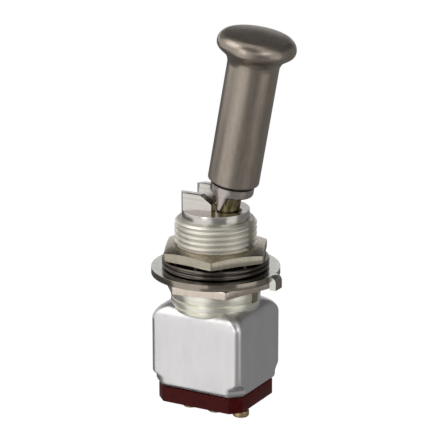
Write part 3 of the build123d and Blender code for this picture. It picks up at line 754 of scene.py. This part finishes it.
class SWITCH_OT_bushing(PieceOperator, bpy.types.Operator):
    """Build the threaded bushing, its shoulder and the lock gate"""

    bl_idname = "switch.bushing"
    bl_label = "Bushing and lock gate"

    def execute(self, context):
        size = sizes()
        self.thread_low = UPPER_NUT_TOP - size.thread_overlap
        self.root_r = THREAD_R - size.thread_depth
        nickel = satin_nickel("bushing_nickel", colours().bushing, 0.28, 0.38, metallic=0.92)
        matt = satin_nickel(
            "thread_nickel",
            colours().thread,
            0.3,
            0.4,
            metallic=0.74,
            lines=0.94,
            # painted shade: the grooves are darkened by 0.66 from the root out to part way up the flanks
            groove_shade=(self.root_r, THREAD_R - 0.4 * size.thread_depth, 0.66),
        )
        milled = satin_nickel("milled_nickel", colours().gate, 0.18, 0.28)
        self.finish(self.thread(size), matt)
        self.finish(self.shoulder(size), nickel)
        # the stretch between the nuts gets the dark finish as painted shade in the washers' gaps
        self.finish(self.core(size), satin_nickel("nickel_in_painted_shade", colours().core, 0.3, 0.42))
        self.finish(self.gate(size), milled)
        return {"FINISHED"}

    def finish(self, piece, material):
        finish_piece(piece, "root", material, ["bushing"])

    def cut_keyway(self, size, piece):
        half, stop = size.keyway_width / 2, 0.45 * MM
        keyway = rectangle(THREAD_R - size.keyway_depth, 2 * THREAD_R, -half, half)
        combine(piece, [tool(prism(keyway, CAN_TOP + stop, EAR_TOP, True))])

    def thread(self, size):
        helix = helical_thread(self.thread_low, THREAD_TOP, THREAD_R, size.thread_pitch, size.thread_depth)
        thread = to_object(helix, "bushing_thread")
        self.cut_keyway(size, thread)
        margin = 0.2 * MM
        bottom = self.thread_low - margin
        chamfered = [
            (0, bottom),
            (THREAD_R + margin, bottom),
            (THREAD_R + margin, THREAD_TOP - size.thread_chamfer - margin),
            (THREAD_R - size.thread_chamfer, THREAD_TOP),
            (0, THREAD_TOP),
        ]
        combine(thread, [tool(lathe(chamfered))], "INTERSECT")
        return thread

    def shoulder(self, size):
        inner, outer = size.neck_radius, size.shoulder_radius
        edge, groove = size.edge_radius, size.shoulder_groove
        bottom = CAN_TOP - size.shoulder_skirt
        lower_groove, upper_groove = bottom + 0.55 * MM, bottom + 1.6 * MM
        outline = [(inner, bottom, 0), (outer, bottom, edge)]
        for height in (lower_groove, upper_groove):
            outline += [
                (outer, height - groove / 2, edge / 2),
                (outer - groove, height, edge / 2),
                (outer, height + groove, edge / 2),
            ]
        outline += [(outer, LOWER_NUT_BOTTOM, edge), (inner, LOWER_NUT_BOTTOM, 0)]
        shoulder = to_object(lathe(soften(outline, 3)), "bushing_shoulder")
        self.cut_keyway(size, shoulder)
        return shoulder

    def core(self, size):
        """The plain stretch between the nuts."""
        plain = turned_ring(size.neck_radius, self.root_r, LOWER_NUT_BOTTOM, self.thread_low)
        core = to_object(plain, "bushing_core")
        self.cut_keyway(size, core)
        return core

    def gate(self, size):
        gate_r, sunk = size.gate_radius, 0.3 * MM
        rim = THREAD_TOP + size.gate_neck
        gate = to_object(turned_ring(0, gate_r, THREAD_TOP - sunk, EAR_TOP, 256), "bushing_gate")
        side = size.channel_half_width
        lead = side + size.channel_lead_depth
        far = 2 * gate_r
        over = EAR_TOP + gate_r
        mouth = -sqrt(gate_r**2 - side**2)
        lead_end = mouth + size.channel_lead_length
        near_side = [(-far, -lead), (mouth, -lead), (lead_end, -side), (far, -side)]
        channel = near_side + [(x, -y) for x, y in reversed(near_side)]
        flat = size.ear_half_width
        ramp = [
            (size.ear_flat_end, over),
            (size.ear_flat_end, EAR_TOP),
            (size.ear_end, EAR_TOP - size.ear_ramp_drop),
            (size.ear_end, rim),
            (far, rim),
            (far, over),
        ]
        plans = (channel, rectangle(-far, far, flat, far), rectangle(-far, far, -far, -flat))
        cutters = [tool(prism(plan, rim, over, True)) for plan in plans]
        combine(gate, cutters + [tool(prism(ramp, -far, far, False))])
        combine(gate, self.slot(size, over))
        ease_edges(gate, size.edge_radius)
        return gate

    def slot(self, size, over):
        """The room that the shaft swings in: its two end positions and the wedge between them."""
        slot_r = size.shaft_radius + size.slot_clearance
        tilt = asin(LEVER_DIRECTION.x)
        cutters = []
        for side in (-1, 1):
            tube = tool(turned_ring(0, slot_r, 0, 2 * (EAR_TOP - PIVOT.z), 96))
            tube.matrix_world = Matrix.Translation(PIVOT) @ Matrix.Rotation(side * tilt, 4, "Y")
            cutters.append(tube)
        spread = (over - PIVOT.z) * tan(tilt)
        wedge = [(0, PIVOT.z), (spread, over), (-spread, over)]
        return cutters + [tool(prism(wedge, -slot_r, slot_r, False))]


class SWITCH_OT_nuts(PieceOperator, bpy.types.Operator):
    """Build the two hexagon nuts"""

    bl_idname = "switch.nuts"
    bl_label = "Hexagon nuts"

    def execute(self, context):
        # one nickel plate in a darker (painted shade) and a lighter (painted light) copy
        for node, colour in (("upper_nut", colours().nut), ("lower_nut", colours().backing_nut)):
            nickel = satin_nickel(f"{node}_nickel", colour, 0.2, 0.32, radial=True)
            finish_piece(hexagon_nut(f"{node}_piece", node), "root", nickel, [node])
        return {"FINISHED"}


class SWITCH_OT_washers(PieceOperator, bpy.types.Operator):
    """Build the internal-tooth lock washer and the keying washer"""

    bl_idname = "switch.washers"
    bl_label = "Washers"

    def execute(self, context):
        size = sizes()
        # the third value of each finish is the painted shade on the washer's outer rim
        dark_steel = plated_spring_steel(
            "lock_washer_steel", colours().lock_washer, (0.72, 0.7, 0.68), 0.14, 0.22
        )
        steel = plated_spring_steel("plated_spring_steel", colours().washer, (0.55, 0.48, 0.43), 0.12, 0.22)
        finish_piece(self.lock_washer(size), "root", dark_steel, ["lock_washer"])
        finish_piece(self.keying_washer(size), "root", steel, ["keying_washer"])
        return {"FINISHED"}

    def lock_washer(self, size):
        """A rolled rim with a groove round it, and twisted teeth inside."""
        edge, round_edge, bore = size.edge_radius, size.lock_rim_edge, size.washer_bore_radius
        outer = half_width("lock_washer", 0)
        inner = outer - size.lock_rim_width
        middle = (LOCK_WASHER_BOTTOM + LOCK_WASHER_TOP) / 2
        low, split, high = middle - 0.78 * MM, middle - 0.1 * MM, middle + 0.56 * MM
        lip = 0.05 * MM
        section = [
            (inner, low, edge),
            (outer, low, round_edge),
            (outer, split - lip, round_edge),
            (outer - size.lock_rim_groove, split, lip),
            (outer, split + lip, round_edge),
            (outer, high, round_edge),
            (inner, high, edge),
        ]
        mesh = lathe(soften(section, 4))
        overlap = 0.25 * MM
        length = inner - bore + overlap
        shape = Matrix.Translation((bore + length / 2, 0, 0))
        twist = Matrix.Rotation(size.lock_tooth_twist, 4, "X")
        scale = Matrix.Diagonal((length, size.lock_tooth_width, size.lock_tooth_sheet, 1))
        for index in range(size.lock_tooth_count):
            turn = Matrix.Rotation(ROUND * index / size.lock_tooth_count, 4, "Z")
            block = bmesh.ops.create_cube(mesh, size=1)["verts"]
            place = Matrix.Translation((0, 0, middle)) @ turn @ shape @ twist @ scale
            bmesh.ops.transform(mesh, matrix=place, verts=block)
        return to_object(mesh, "lock_washer_piece")

    def keying_washer(self, size):
        """A disc with a bent locating tab and a tongue in the bushing's keyway."""
        low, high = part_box("keying_washer")
        top, bottom, bore = KEYING_WASHER_TOP, KEYING_WASHER_BOTTOM, size.washer_bore_radius
        thick = top - bottom
        disc_r = half_width("keying_washer", 1) - HAIR
        disc = to_object(turned_ring(bore, disc_r, bottom, top, 256), "keying_washer_piece")
        tab_outline = [
            (disc_r - 2 * thick, top, 0),
            (high[0], top, thick),
            (high[0], low[2], 0),
            (disc_r, low[2], 0),
            (disc_r, bottom, 0.1 * MM),
            (disc_r - 2 * thick, bottom, 0),
        ]
        half = size.tab_width / 2
        tab = tool(prism(soften(tab_outline, 8), -half, half, False))
        half = size.keyway_width / 2 - size.key_clearance
        tip = THREAD_R - size.keyway_depth + size.key_clearance
        tongue = tool(prism(rectangle(tip, bore + thick, -half, half), bottom, top, True))
        combine(disc, [tab, tongue], "UNION")
        ease_edges(disc, size.washer_edge, steps=3)
        return disc


def can_ring(height, inset, corner_r, stake, per_corner=16, per_side=14):
    """One ring of points round the can: inset from its walls, with rounded or staked corners.

    stake runs from 0, a rounded corner, to 1, a corner pressed flat at 45 degrees.
    """
    half_x, half_y = CAN_HALF_X - inset, CAN_HALF_Y - inset
    corner_r = max(corner_r, 0.02 * MM)
    leg = sizes().stake_leg - inset * (2 - sqrt(2))
    quadrant = []
    for step, (sine, cosine) in enumerate(quarter_turn(per_corner)):
        share = step / per_corner
        arc = Vector((half_x - corner_r * (1 - cosine), half_y - corner_r * (1 - sine)))
        flat = Vector((half_x - leg * share, half_y - leg * (1 - share)))
        quadrant.append(arc.lerp(flat, stake))
    corners = []
    for sign_x, sign_y in ((1, 1), (-1, 1), (-1, -1), (1, -1)):
        corner = [Vector((point.x * sign_x, point.y * sign_y, height)) for point in quadrant]
        corners.append(corner if sign_x == sign_y else corner[::-1])
    ring = []
    for corner, following in zip(corners, corners[1:] + corners[:1]):
        ring += corner
        ring += [corner[-1].lerp(following[0], step / per_side) for step in range(1, per_side)]
    return ring


class SWITCH_OT_can(PieceOperator, bpy.types.Operator):
    """Build the drawn can with its rolled lip and staked corners"""

    bl_idname = "switch.can"
    bl_label = "Can"

    def execute(self, context):
        size = sizes()
        outer, inner = self.skin(size, 0), self.skin(size, size.can_wall)
        piece = to_object(ring_solid(outer + inner[::-1]), "can_piece", 50)
        finish_piece(piece, "root", drawn_aluminium(), ["housing"])
        return {"FINISHED"}

    def skin(self, size, depth):
        """Rings of one skin from the lip to the hole, depth inside the outer face."""
        crown_r, lip_r = size.can_crown_radius, size.can_lip_radius
        lip, crown = lip_r - depth, crown_r - depth
        stake_top = CAN_BOTTOM + size.stake_height
        straight_low, straight_top = stake_top + size.stake_ramp, CAN_TOP - crown_r
        crown_widening = 1.0 * MM
        rows = []
        for sine, cosine in reversed(quarter_turn(6)):
            rows.append((CAN_BOTTOM + lip_r - lip * sine, depth + lip * (1 - cosine)))
        rows += [(stake_top + size.stake_ramp * step / 8, depth) for step in range(9)]
        rows += [(straight_low + (straight_top - straight_low) * step / 6, depth) for step in range(1, 6)]
        for sine, cosine in quarter_turn(16):
            rows.append((straight_top + crown * sine, depth + crown * (1 - cosine)))
        rings = []
        for height, inset in rows:
            rise = min(1, max(0, (height - straight_top) / crown_r))
            fade = min(1, max(0, (height - stake_top) / size.stake_ramp))
            stake = 1 - fade * fade * (3 - 2 * fade)
            corner_r = size.can_corner_radius - depth + crown_widening * rise**2
            rings.append(can_ring(height, inset, corner_r, stake))
        flat_top = rings[-1]
        for share in (0.5, 1):
            ring = []
            for point in flat_top:
                rim = point.xy.normalized() * size.neck_radius
                ring.append(point.xy.lerp(rim, share).to_3d() + Vector((0, 0, point.z)))
            rings.append(ring)
        return rings


class SWITCH_OT_base(PieceOperator, bpy.types.Operator):
    """Build the moulded base"""

    bl_idname = "switch.base"
    bl_label = "Base"

    def execute(self, context):
        size = sizes()
        edge, plug = size.base_edge, size.can_wall + size.base_step
        turn = quarter_turn(4)
        places = [(edge * (1 - sine), BASE_BOTTOM + edge * (1 - cosine)) for sine, cosine in turn]
        edge /= 2
        places += [(edge * (1 - cosine), CAN_BOTTOM - edge * (1 - sine)) for sine, cosine in turn]
        places += [(plug, CAN_BOTTOM), (plug, BASE_TOP)]
        rings = [self.ring(size, inset, height) for inset, height in places]
        base = to_object(ring_solid(rings, capped=True), "base_piece", 30)
        combine(base, [self.hole(size, node) for node in TERMINALS])
        finish_piece(base, "root", phenolic(), ["base"])
        return {"FINISHED"}

    def ring(self, size, inset, height):
        """One ring round the base, with its corners cut."""
        half_x, half_y = BASE_HALF_X - inset, BASE_HALF_Y - inset
        cut = size.base_corner_leg - inset * (2 - sqrt(2))
        radius = max(size.base_corner_radius - inset * 0.5, 0.05 * MM)
        side = [(half_x - cut, half_y), (half_x, half_y - cut)]
        side += [(x, -y) for x, y in reversed(side)]
        side += [(-x, -y) for x, y in side]
        return [(point.x, point.y, height) for point in soften([(x, y, radius) for x, y in side], 4)]

    def hole(self, size, node):
        """A terminal's hole, with a shallow counterbore."""
        wide, narrow, step = 1.15 * MM, size.terminal_neck_radius, BASE_BOTTOM + 0.2 * MM
        below = BASE_BOTTOM - 1 * MM
        outline = [(0, below), (wide, below), (wide, step), (narrow, step), (narrow, 0), (0, 0)]
        hole = tool(lathe(outline, 48))
        hole.matrix_world = Matrix.Translation((middle_x(node), 0, 0))
        return hole


class SWITCH_OT_terminals(PieceOperator, bpy.types.Operator):
    """Build the three turret terminals"""

    bl_idname = "switch.terminals"
    bl_label = "Terminals"

    def execute(self, context):
        brass = tinned_brass()
        pin = MOUNTS["terminal_pin_common"]["dims"]
        disc_r, neck, edge = pin["r_mm"] * MM, sizes().terminal_neck_radius, 0.1 * MM
        for node in TERMINALS:
            low, high = level(node, 0), level(node, 1)
            disc_top = low + pin["length_mm"] * MM
            head_r = half_width(node, 0)
            outline = [
                (0, low, 0),
                (disc_r, low, 3 * edge),
                (disc_r, disc_top, 1.2 * edge),
                (neck, disc_top, edge),
                (neck, BASE_TOP, 0),
                (head_r, BASE_TOP, 0),
                (head_r, high, edge),
                (0, high, 0),
            ]
            piece = to_object(lathe(soften(outline), 96), f"{node}_piece")
            place = Matrix.Translation((middle_x(node), 0, 0))
            finish_piece(piece, "root", brass, [node], place)
        return {"FINISHED"}


class SWITCH_OT_lever(PieceOperator, bpy.types.Operator):
    """Build the lever's ball and shaft"""

    bl_idname = "switch.lever"
    bl_label = "Lever"

    def execute(self, context):
        size = sizes()
        low, high, ball_r = along_lever("lever")
        stop_low = along_lever("lever_stop")[0]
        seat, spring_r = along_lever("plunger_spring")[1:]
        bore_r = spring_r + RUNNING_ROOM
        stub, shaft, spigot = size.stub_radius, size.shaft_radius, 1.0 * MM
        outline = [(0, seat), (bore_r, seat), (bore_r, low), (stub, low)]
        start, end = -acos(stub / ball_r), acos(shaft / ball_r)
        steps = 24
        for step in range(steps + 1):
            angle = start + (end - start) * step / steps
            outline.append((ball_r * cos(angle), ball_r * sin(angle)))
        outline += [(shaft, stop_low), (spigot, stop_low), (spigot, high), (0, high)]
        piece = to_object(lathe(outline, 96), "lever_piece")
        finish_piece(piece, "lever", dark_brass("dark_brass", True), ["lever"], LEVER_MATRIX)
        return {"FINISHED"}


class SWITCH_OT_lock_collar(PieceOperator, bpy.types.Operator):
    """Build the lock collar and its two V teeth"""

    bl_idname = "switch.lock_collar"
    bl_label = "Lock collar"

    def execute(self, context):
        size = sizes()
        tip, top, outer = along_lever("lock_collar")
        sleeve_bottom = along_lever("knob")[0]
        seat = sleeve_bottom - size.recess_height
        spigot = size.sleeve_bore_radius
        rings = self.upper_rings(size, outer, top, sleeve_bottom, seat)
        rings += self.lower_rings(size, outer, top, sleeve_bottom - size.collar_height, tip)
        piece = to_object(ring_solid(rings), "lock_collar_piece", 40)
        finish_piece(piece, "knob", turned_steel(), ["lock_collar"], LEVER_MATRIX)

        # painted shadow: a near-black ring fills the recess under the sleeve and stands for the shadow in that gap
        recess_r = outer - size.recess_depth
        outline = [
            (spigot, seat, 0),
            (recess_r, seat, COLLAR_EASE),
            (recess_r, sleeve_bottom, COLLAR_EASE),
            (spigot, sleeve_bottom, 0),
        ]
        ring = to_object(lathe(soften(outline, 3)), "painted_shadow_ring")
        shadow_black = plain_inner("painted_recess_shadow", (0.012, 0.011, 0.01), 0, 0.6, own_place=True)
        finish_piece(ring, "knob", shadow_black, matrix=LEVER_MATRIX)
        return {"FINISHED"}

    def round_ring(self, reach, height):
        return [Vector((reach * x, reach * y, height)) for x, y in COLLAR_WAYS]

    def upper_rings(self, size, outer, top, sleeve_bottom, seat):
        """The spigot inside the sleeve and the collar's turned outside."""
        spigot = size.sleeve_bore_radius
        places = (
            (spigot, top),
            (spigot, sleeve_bottom),
            (spigot + COLLAR_EASE, sleeve_bottom),
            (spigot + COLLAR_EASE, seat),
            (outer - COLLAR_EASE, seat),
            (outer, seat - COLLAR_EASE),
            (outer, sleeve_bottom - size.collar_height + 2 * size.collar_edge),
        )
        return [self.round_ring(reach, height) for reach, height in places]

    def lower_rings(self, size, outer, top, bottom, tip):
        """The rounded lower edge, which runs out into two V teeth, and the bore."""
        tooth = self.tooth(size, outer, bottom, tip)
        rounding, ease, blend = size.collar_edge, COLLAR_EASE, 0.6 * MM

        def fall(x):
            """How far the collar's lower edge lies below its bottom at a distance from its middle."""
            for start, end in zip(tooth, tooth[1:]):
                if start.x <= x <= end.x:
                    share = (x - start.x) / max(end.x - start.x, 1e-12)
                    return bottom - start.y - (end.y - start.y) * share
            return 0

        rings = []
        for sine, cosine in quarter_turn(5):
            ring = []
            for x, y in COLLAR_WAYS:
                drop = fall(outer * x)
                share = min(1, drop / blend)
                reach = outer - (rounding * (1 - share) + ease * share) * (1 - cosine)
                height = bottom + rounding * (1 - sine) * (1 - share)
                if drop > 0:
                    height -= drop - ease * (1 - sine)
                ring.append(Vector((reach * x, reach * y, height)))
            rings.append(ring)
        inner = outer - size.tooth_wall
        rings.append([Vector((inner * x, inner * y, bottom - fall(outer * x))) for x, y in COLLAR_WAYS])
        bore = size.shaft_radius + RUNNING_ROOM
        chamfer = 0.1 * MM
        step = 0.01 * MM
        inside = ((inner - step, bottom), (bore + chamfer, bottom), (bore, bottom + chamfer), (bore, top))
        return rings + [self.round_ring(reach, height) for reach, height in inside]

    def tooth(self, size, outer, bottom, tip):
        """A tooth's outline, seen across the lever, from left to right."""
        tip_half, root_r = size.tooth_tip_half, size.tooth_root_radius
        root_half = tip_half + (bottom - tip) * tan(size.tooth_half_angle)
        right = [(2 * outer, bottom, 0), (root_half, bottom, root_r), (tip_half, tip, 0.06 * MM)]
        left = [(-x, y, radius) for x, y, radius in reversed(right)]
        return soften(right + left, 6, closed=False)[::-1]


class SWITCH_OT_sleeve(PieceOperator, bpy.types.Operator):
    """Build the pull sleeve with its mushroom cap"""

    bl_idname = "switch.sleeve"
    bl_label = "Pull sleeve"

    def execute(self, context):
        size = sizes()
        low, high, cap_r = along_lever("knob")
        high, cap_r = high - HAIR, cap_r - HAIR
        stem, bore = size.sleeve_radius, size.sleeve_bore_radius
        under = high - size.cap_height
        bore_top = along_lever("lever")[1] + 1.0 * MM
        foot_r, fillet_r, under_r, crown_r = 0.25 * MM, 2.0 * MM, 1.1 * MM, 1.5 * MM
        outline = [
            (0, bore_top, 0),
            (bore, bore_top, 0),
            (bore, low, 0),
            (stem, low, foot_r),
            (stem, under, fillet_r),
            (cap_r, under + size.cap_under_rise, under_r),
            (cap_r, high - size.cap_dome, crown_r),
            (0, high, 0),
        ]
        piece = to_object(lathe(soften(outline, 14), 256), "sleeve_piece", 50)
        finish_piece(piece, "knob", gunmetal_lacquer(), ["knob"], LEVER_MATRIX)
        return {"FINISHED"}


class SWITCH_OT_springs(PieceOperator, bpy.types.Operator):
    """Build the sleeve's spring and the plunger's spring"""

    bl_idname = "switch.springs"
    bl_label = "Coil springs"

    def coil(self, low, high, outer, wire, turns, steps=32, sides=10):
        """A round wire wound about the upright axis."""
        radius = outer - wire / 2
        climb = high - low - wire
        section = [(cos(ROUND * side / sides), sin(ROUND * side / sides)) for side in range(sides)]
        rings = []
        for step in range(turns * steps + 1):
            angle = ROUND * step / steps
            out = Vector((cos(angle), sin(angle), 0))
            along = Vector((-radius * sin(angle), radius * cos(angle), climb / (turns * ROUND))).normalized()
            side = along.cross(out)
            centre = out * radius + Vector((0, 0, low + wire / 2 + climb * step / (turns * steps)))
            rings.append([centre + (out * x + side * y) * wire / 2 for x, y in section])
        return ring_solid(rings, capped=True)

    def execute(self, context):
        size = sizes()
        steel = plain_inner("bright_spring_steel", (0.45, 0.45, 0.45), 1, 0.3, own_place=True)
        for node, joint, wire, turns in (
            ("knob_spring", "knob_pull", size.knob_spring_wire, size.knob_spring_turns),
            ("plunger_spring", "plunger_travel", size.plunger_spring_wire, size.plunger_spring_turns),
        ):
            low, high, outer = along_lever(node)
            piece = to_object(self.coil(low, high, outer, wire, turns), f"{node}_piece", 60)
            finish_piece(piece, "lever", steel, [node], LEVER_MATRIX)
            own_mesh(piece)
        return {"FINISHED"}


class SWITCH_OT_inner_pieces(PieceOperator, bpy.types.Operator):
    """Give the hidden CAD pieces their finishes"""

    bl_idname = "switch.inner_pieces"
    bl_label = "Hidden pieces"

    def execute(self, context):
        plain = {
            "seal_rubber": ((0.02, 0.02, 0.02), 0, 0.7),
            "liner_board": ((0.14, 0.08, 0.035), 0, 0.75),
            "spring_steel": ((0.45, 0.45, 0.45), 1, 0.3),
            "contact_silver": ((0.8, 0.8, 0.77), 1, 0.25),
            "blade_bronze": ((0.55, 0.28, 0.12), 1, 0.35),
            "plunger_plastic": ((0.6, 0.55, 0.42), 0, 0.5),
        }
        finishes = {name: plain_inner(name, *look) for name, look in plain.items()}
        finishes["olive_brass"] = dark_brass("dark_brass_inner", False)
        for entry in frame["record"]["subparts"]:
            node = frame["nodes"][entry["node"]]
            finish = finishes.get(entry["material_slot"])
            if finish:
                node.data.materials.clear()
                node.data.materials.append(finish)
        return {"FINISHED"}


class SWITCH_OT_stage(PieceOperator, bpy.types.Operator):
    """Set up the floor, the lamps, the world and the camera"""

    bl_idname = "switch.stage"
    bl_label = "Stage"

    def execute(self, context):
        self.make_floor()
        context.scene.world = self.make_world()
        self.make_lamps()
        self.make_cards()
        context.scene.camera = self.make_camera()
        context.scene.view_settings.view_transform = "Standard"
        return {"FINISHED"}

    def backdrop_nodes(self, tree, seen, unseen):
        """Mix what is seen directly or by reflection with what only lights the object."""
        path = add_node(tree, "ShaderNodeLightPath").outputs
        straight = path["Is Camera Ray"]
        for ray in ("Is Glossy Ray", "Is Transmission Ray"):
            either = add_node(tree, "ShaderNodeMath", {0: straight, 1: path[ray]}, operation="MAXIMUM")
            straight = either.outputs["Value"]
        return add_node(tree, "ShaderNodeMixShader", {0: straight, 1: unseen, 2: seen}).outputs["Shader"]

    def staged(self, mesh, name, material):
        """Add a piece of the stage."""
        piece = add_mesh(mesh, name)
        piece.data.materials.append(material)
        return piece

    def make_floor(self):
        mesh = bmesh.new()
        bmesh.ops.create_grid(mesh, x_segments=1, y_segments=1, size=1.5)
        material = node_material("floor")
        tree = material.node_tree
        shader = tree.nodes["Principled BSDF"]
        shader.inputs["Base Color"].default_value = (0.8, 0.8, 0.8, 1)
        shader.inputs["Roughness"].default_value = 0.9
        white = add_node(tree, "ShaderNodeEmission", {"Strength": 1})
        result = self.backdrop_nodes(tree, white.outputs["Emission"], shader.outputs["BSDF"])
        tree.links.new(result, tree.nodes["Material Output"].inputs["Surface"])
        self.staged(mesh, "floor", material).location.z = FLOOR

    def make_world(self):
        world = bpy.data.worlds.new("studio")
        world.use_nodes = True
        tree = world.node_tree
        level_light = tree.nodes["Background"]
        level_light.inputs["Color"].default_value = (1, 1, 1, 1)
        level_light.inputs["Strength"].default_value = 0.45
        white = add_node(tree, "ShaderNodeBackground", {"Strength": 1})
        seen, unseen = white.outputs["Background"], level_light.outputs["Background"]
        result = self.backdrop_nodes(tree, seen, unseen)
        tree.links.new(result, tree.nodes["World Output"].inputs["Surface"])
        return world

    def way(self, azimuth, elevation):
        """A direction from the object, azimuth 0 towards -Y and 90 towards +X."""
        around, up = radians(azimuth), radians(elevation)
        return Vector((sin(around) * cos(up), -cos(around) * cos(up), sin(up)))

    def lamp(self, name, azimuth, elevation, distance, width, height, radiance):
        """A soft rectangular lamp that looks at the object."""
        data = bpy.data.lights.new(name, "AREA")
        data.shape = "RECTANGLE"
        data.size, data.size_y = width, height
        data.energy = radiance * pi * width * height
        lamp = add_object(name, data)
        way = self.way(azimuth, elevation)
        lamp.location = MIDDLE + way * distance
        lamp.rotation_euler = way.to_track_quat("Z", "Y").to_euler()

    def dark_card(self, name, start, end, shade, *edge):
        """A dark card that only reflections see.

        It is a fan about the object from one azimuth to another, through (distance, height) places.
        """
        mesh = bmesh.new()
        steps = 24
        ways = [self.way(start + (end - start) * step / steps, 0) for step in range(steps + 1)]
        rows = []
        for distance, height in edge:
            rows.append([mesh.verts.new((way.x * distance, way.y * distance, height)) for way in ways])
        for row, following in zip(rows, rows[1:]):
            for step in range(steps):
                mesh.faces.new((row[step], row[step + 1], following[step + 1], following[step]))
        material = node_material(name)
        tree = material.node_tree
        glow = add_node(tree, "ShaderNodeEmission", {"Strength": shade})
        tree.links.new(glow.outputs["Emission"], tree.nodes["Material Output"].inputs["Surface"])
        card = self.staged(mesh, name, material)
        for ray in ("camera", "diffuse", "shadow", "transmission"):
            setattr(card, f"visible_{ray}", False)

    def make_lamps(self):
        # name, azimuth, elevation, distance, width, height, radiance
        self.lamp("key_lamp", -8, 22, 0.4, 0.1, 0.36, 2.2)
        self.lamp("side_lamp", -50, 48, 0.34, 0.22, 0.22, 1.8)
        self.lamp("fill_lamp", 62, 28, 0.36, 0.14, 0.12, 1.6)

    def make_cards(self):
        low = FLOOR + MM
        foot, near, far, wall = (0.001, low), (0.19, low), (0.45, low), 0.2
        under = ((0.024, low + MM), (0.052, low + MM))
        ceiling = ((0.1, 0.27), (0.62, 0.27))
        # name, azimuths, shade, places
        self.dark_card("under_card", 0, 360, 0.07, *under)
        self.dark_card("near_card", 2, 104, 0.33, foot, near)
        self.dark_card("front_card", 16, 66, 0.22, near, far, (far[0], 0.06))
        self.dark_card("right_card", 104, 186, 0.24, foot, far, (far[0], 0.2))
        self.dark_card("back_card", 186, 308, 0.14, foot, far)
        self.dark_card("left_card", 222, 262, 0.14, far, (far[0], 0.02))
        self.dark_card("back_wall", 150, 260, 0.08, (wall, 0.08), (wall, 0.27))
        self.dark_card("front_ceiling", -20, 50, 0.1, *ceiling)
        self.dark_card("back_ceiling", 100, 260, 0.1, *ceiling)

    def make_camera(self):
        azimuth, elevation, distance = 29, 17, 0.33
        view_width = 63.98 * MM
        target = Vector((0, 0, -0.7 * MM))
        shift_right, shift_up = 0.908 * MM, 1.787 * MM
        data = bpy.data.cameras.new("camera")
        camera = add_object("camera", data)
        way = self.way(azimuth, elevation)
        camera.rotation_euler = way.to_track_quat("Z", "Y").to_euler()
        right = Vector((cos(radians(azimuth)), sin(radians(azimuth)), 0))
        camera.location = target + way * distance + right * shift_right + way.cross(right) * shift_up
        data.sensor_width = 36
        data.lens = data.sensor_width * distance / view_width
        data.clip_start = 0.01
        return camera


class SWITCH_PT_panel(bpy.types.Panel):
    """Lists the pieces of the switch in the sidebar"""

    bl_idname = "SWITCH_PT_panel"
    bl_label = "Toggle switch"
    bl_space_type = "VIEW_3D"
    bl_region_type = "UI"
    bl_category = "Toggle switch"

    def draw(self, context):
        for operator in OPERATORS:
            self.layout.operator(operator.bl_idname)


OPERATORS = (
    SWITCH_OT_bushing,
    SWITCH_OT_nuts,
    SWITCH_OT_washers,
    SWITCH_OT_can,
    SWITCH_OT_base,
    SWITCH_OT_terminals,
    SWITCH_OT_lever,
    SWITCH_OT_lock_collar,
    SWITCH_OT_sleeve,
    SWITCH_OT_springs,
    SWITCH_OT_inner_pieces,
    SWITCH_OT_stage,
)
CLASSES = (SwitchSizes, SwitchColours, *OPERATORS, SWITCH_PT_panel)


def register():
    for item in CLASSES:
        bpy.utils.register_class(item)
    bpy.types.Scene.switch_sizes = PointerProperty(type=SwitchSizes)
    bpy.types.Scene.switch_colours = PointerProperty(type=SwitchColours)


def unregister():
    del bpy.types.Scene.switch_colours
    del bpy.types.Scene.switch_sizes
    for item in reversed(CLASSES):
        bpy.utils.unregister_class(item)


def main():
    register()
    for operator in OPERATORS:
        group, name = operator.bl_idname.split(".")
        getattr(getattr(bpy.ops, group), name)()


if __name__ == "__main__":
    main()
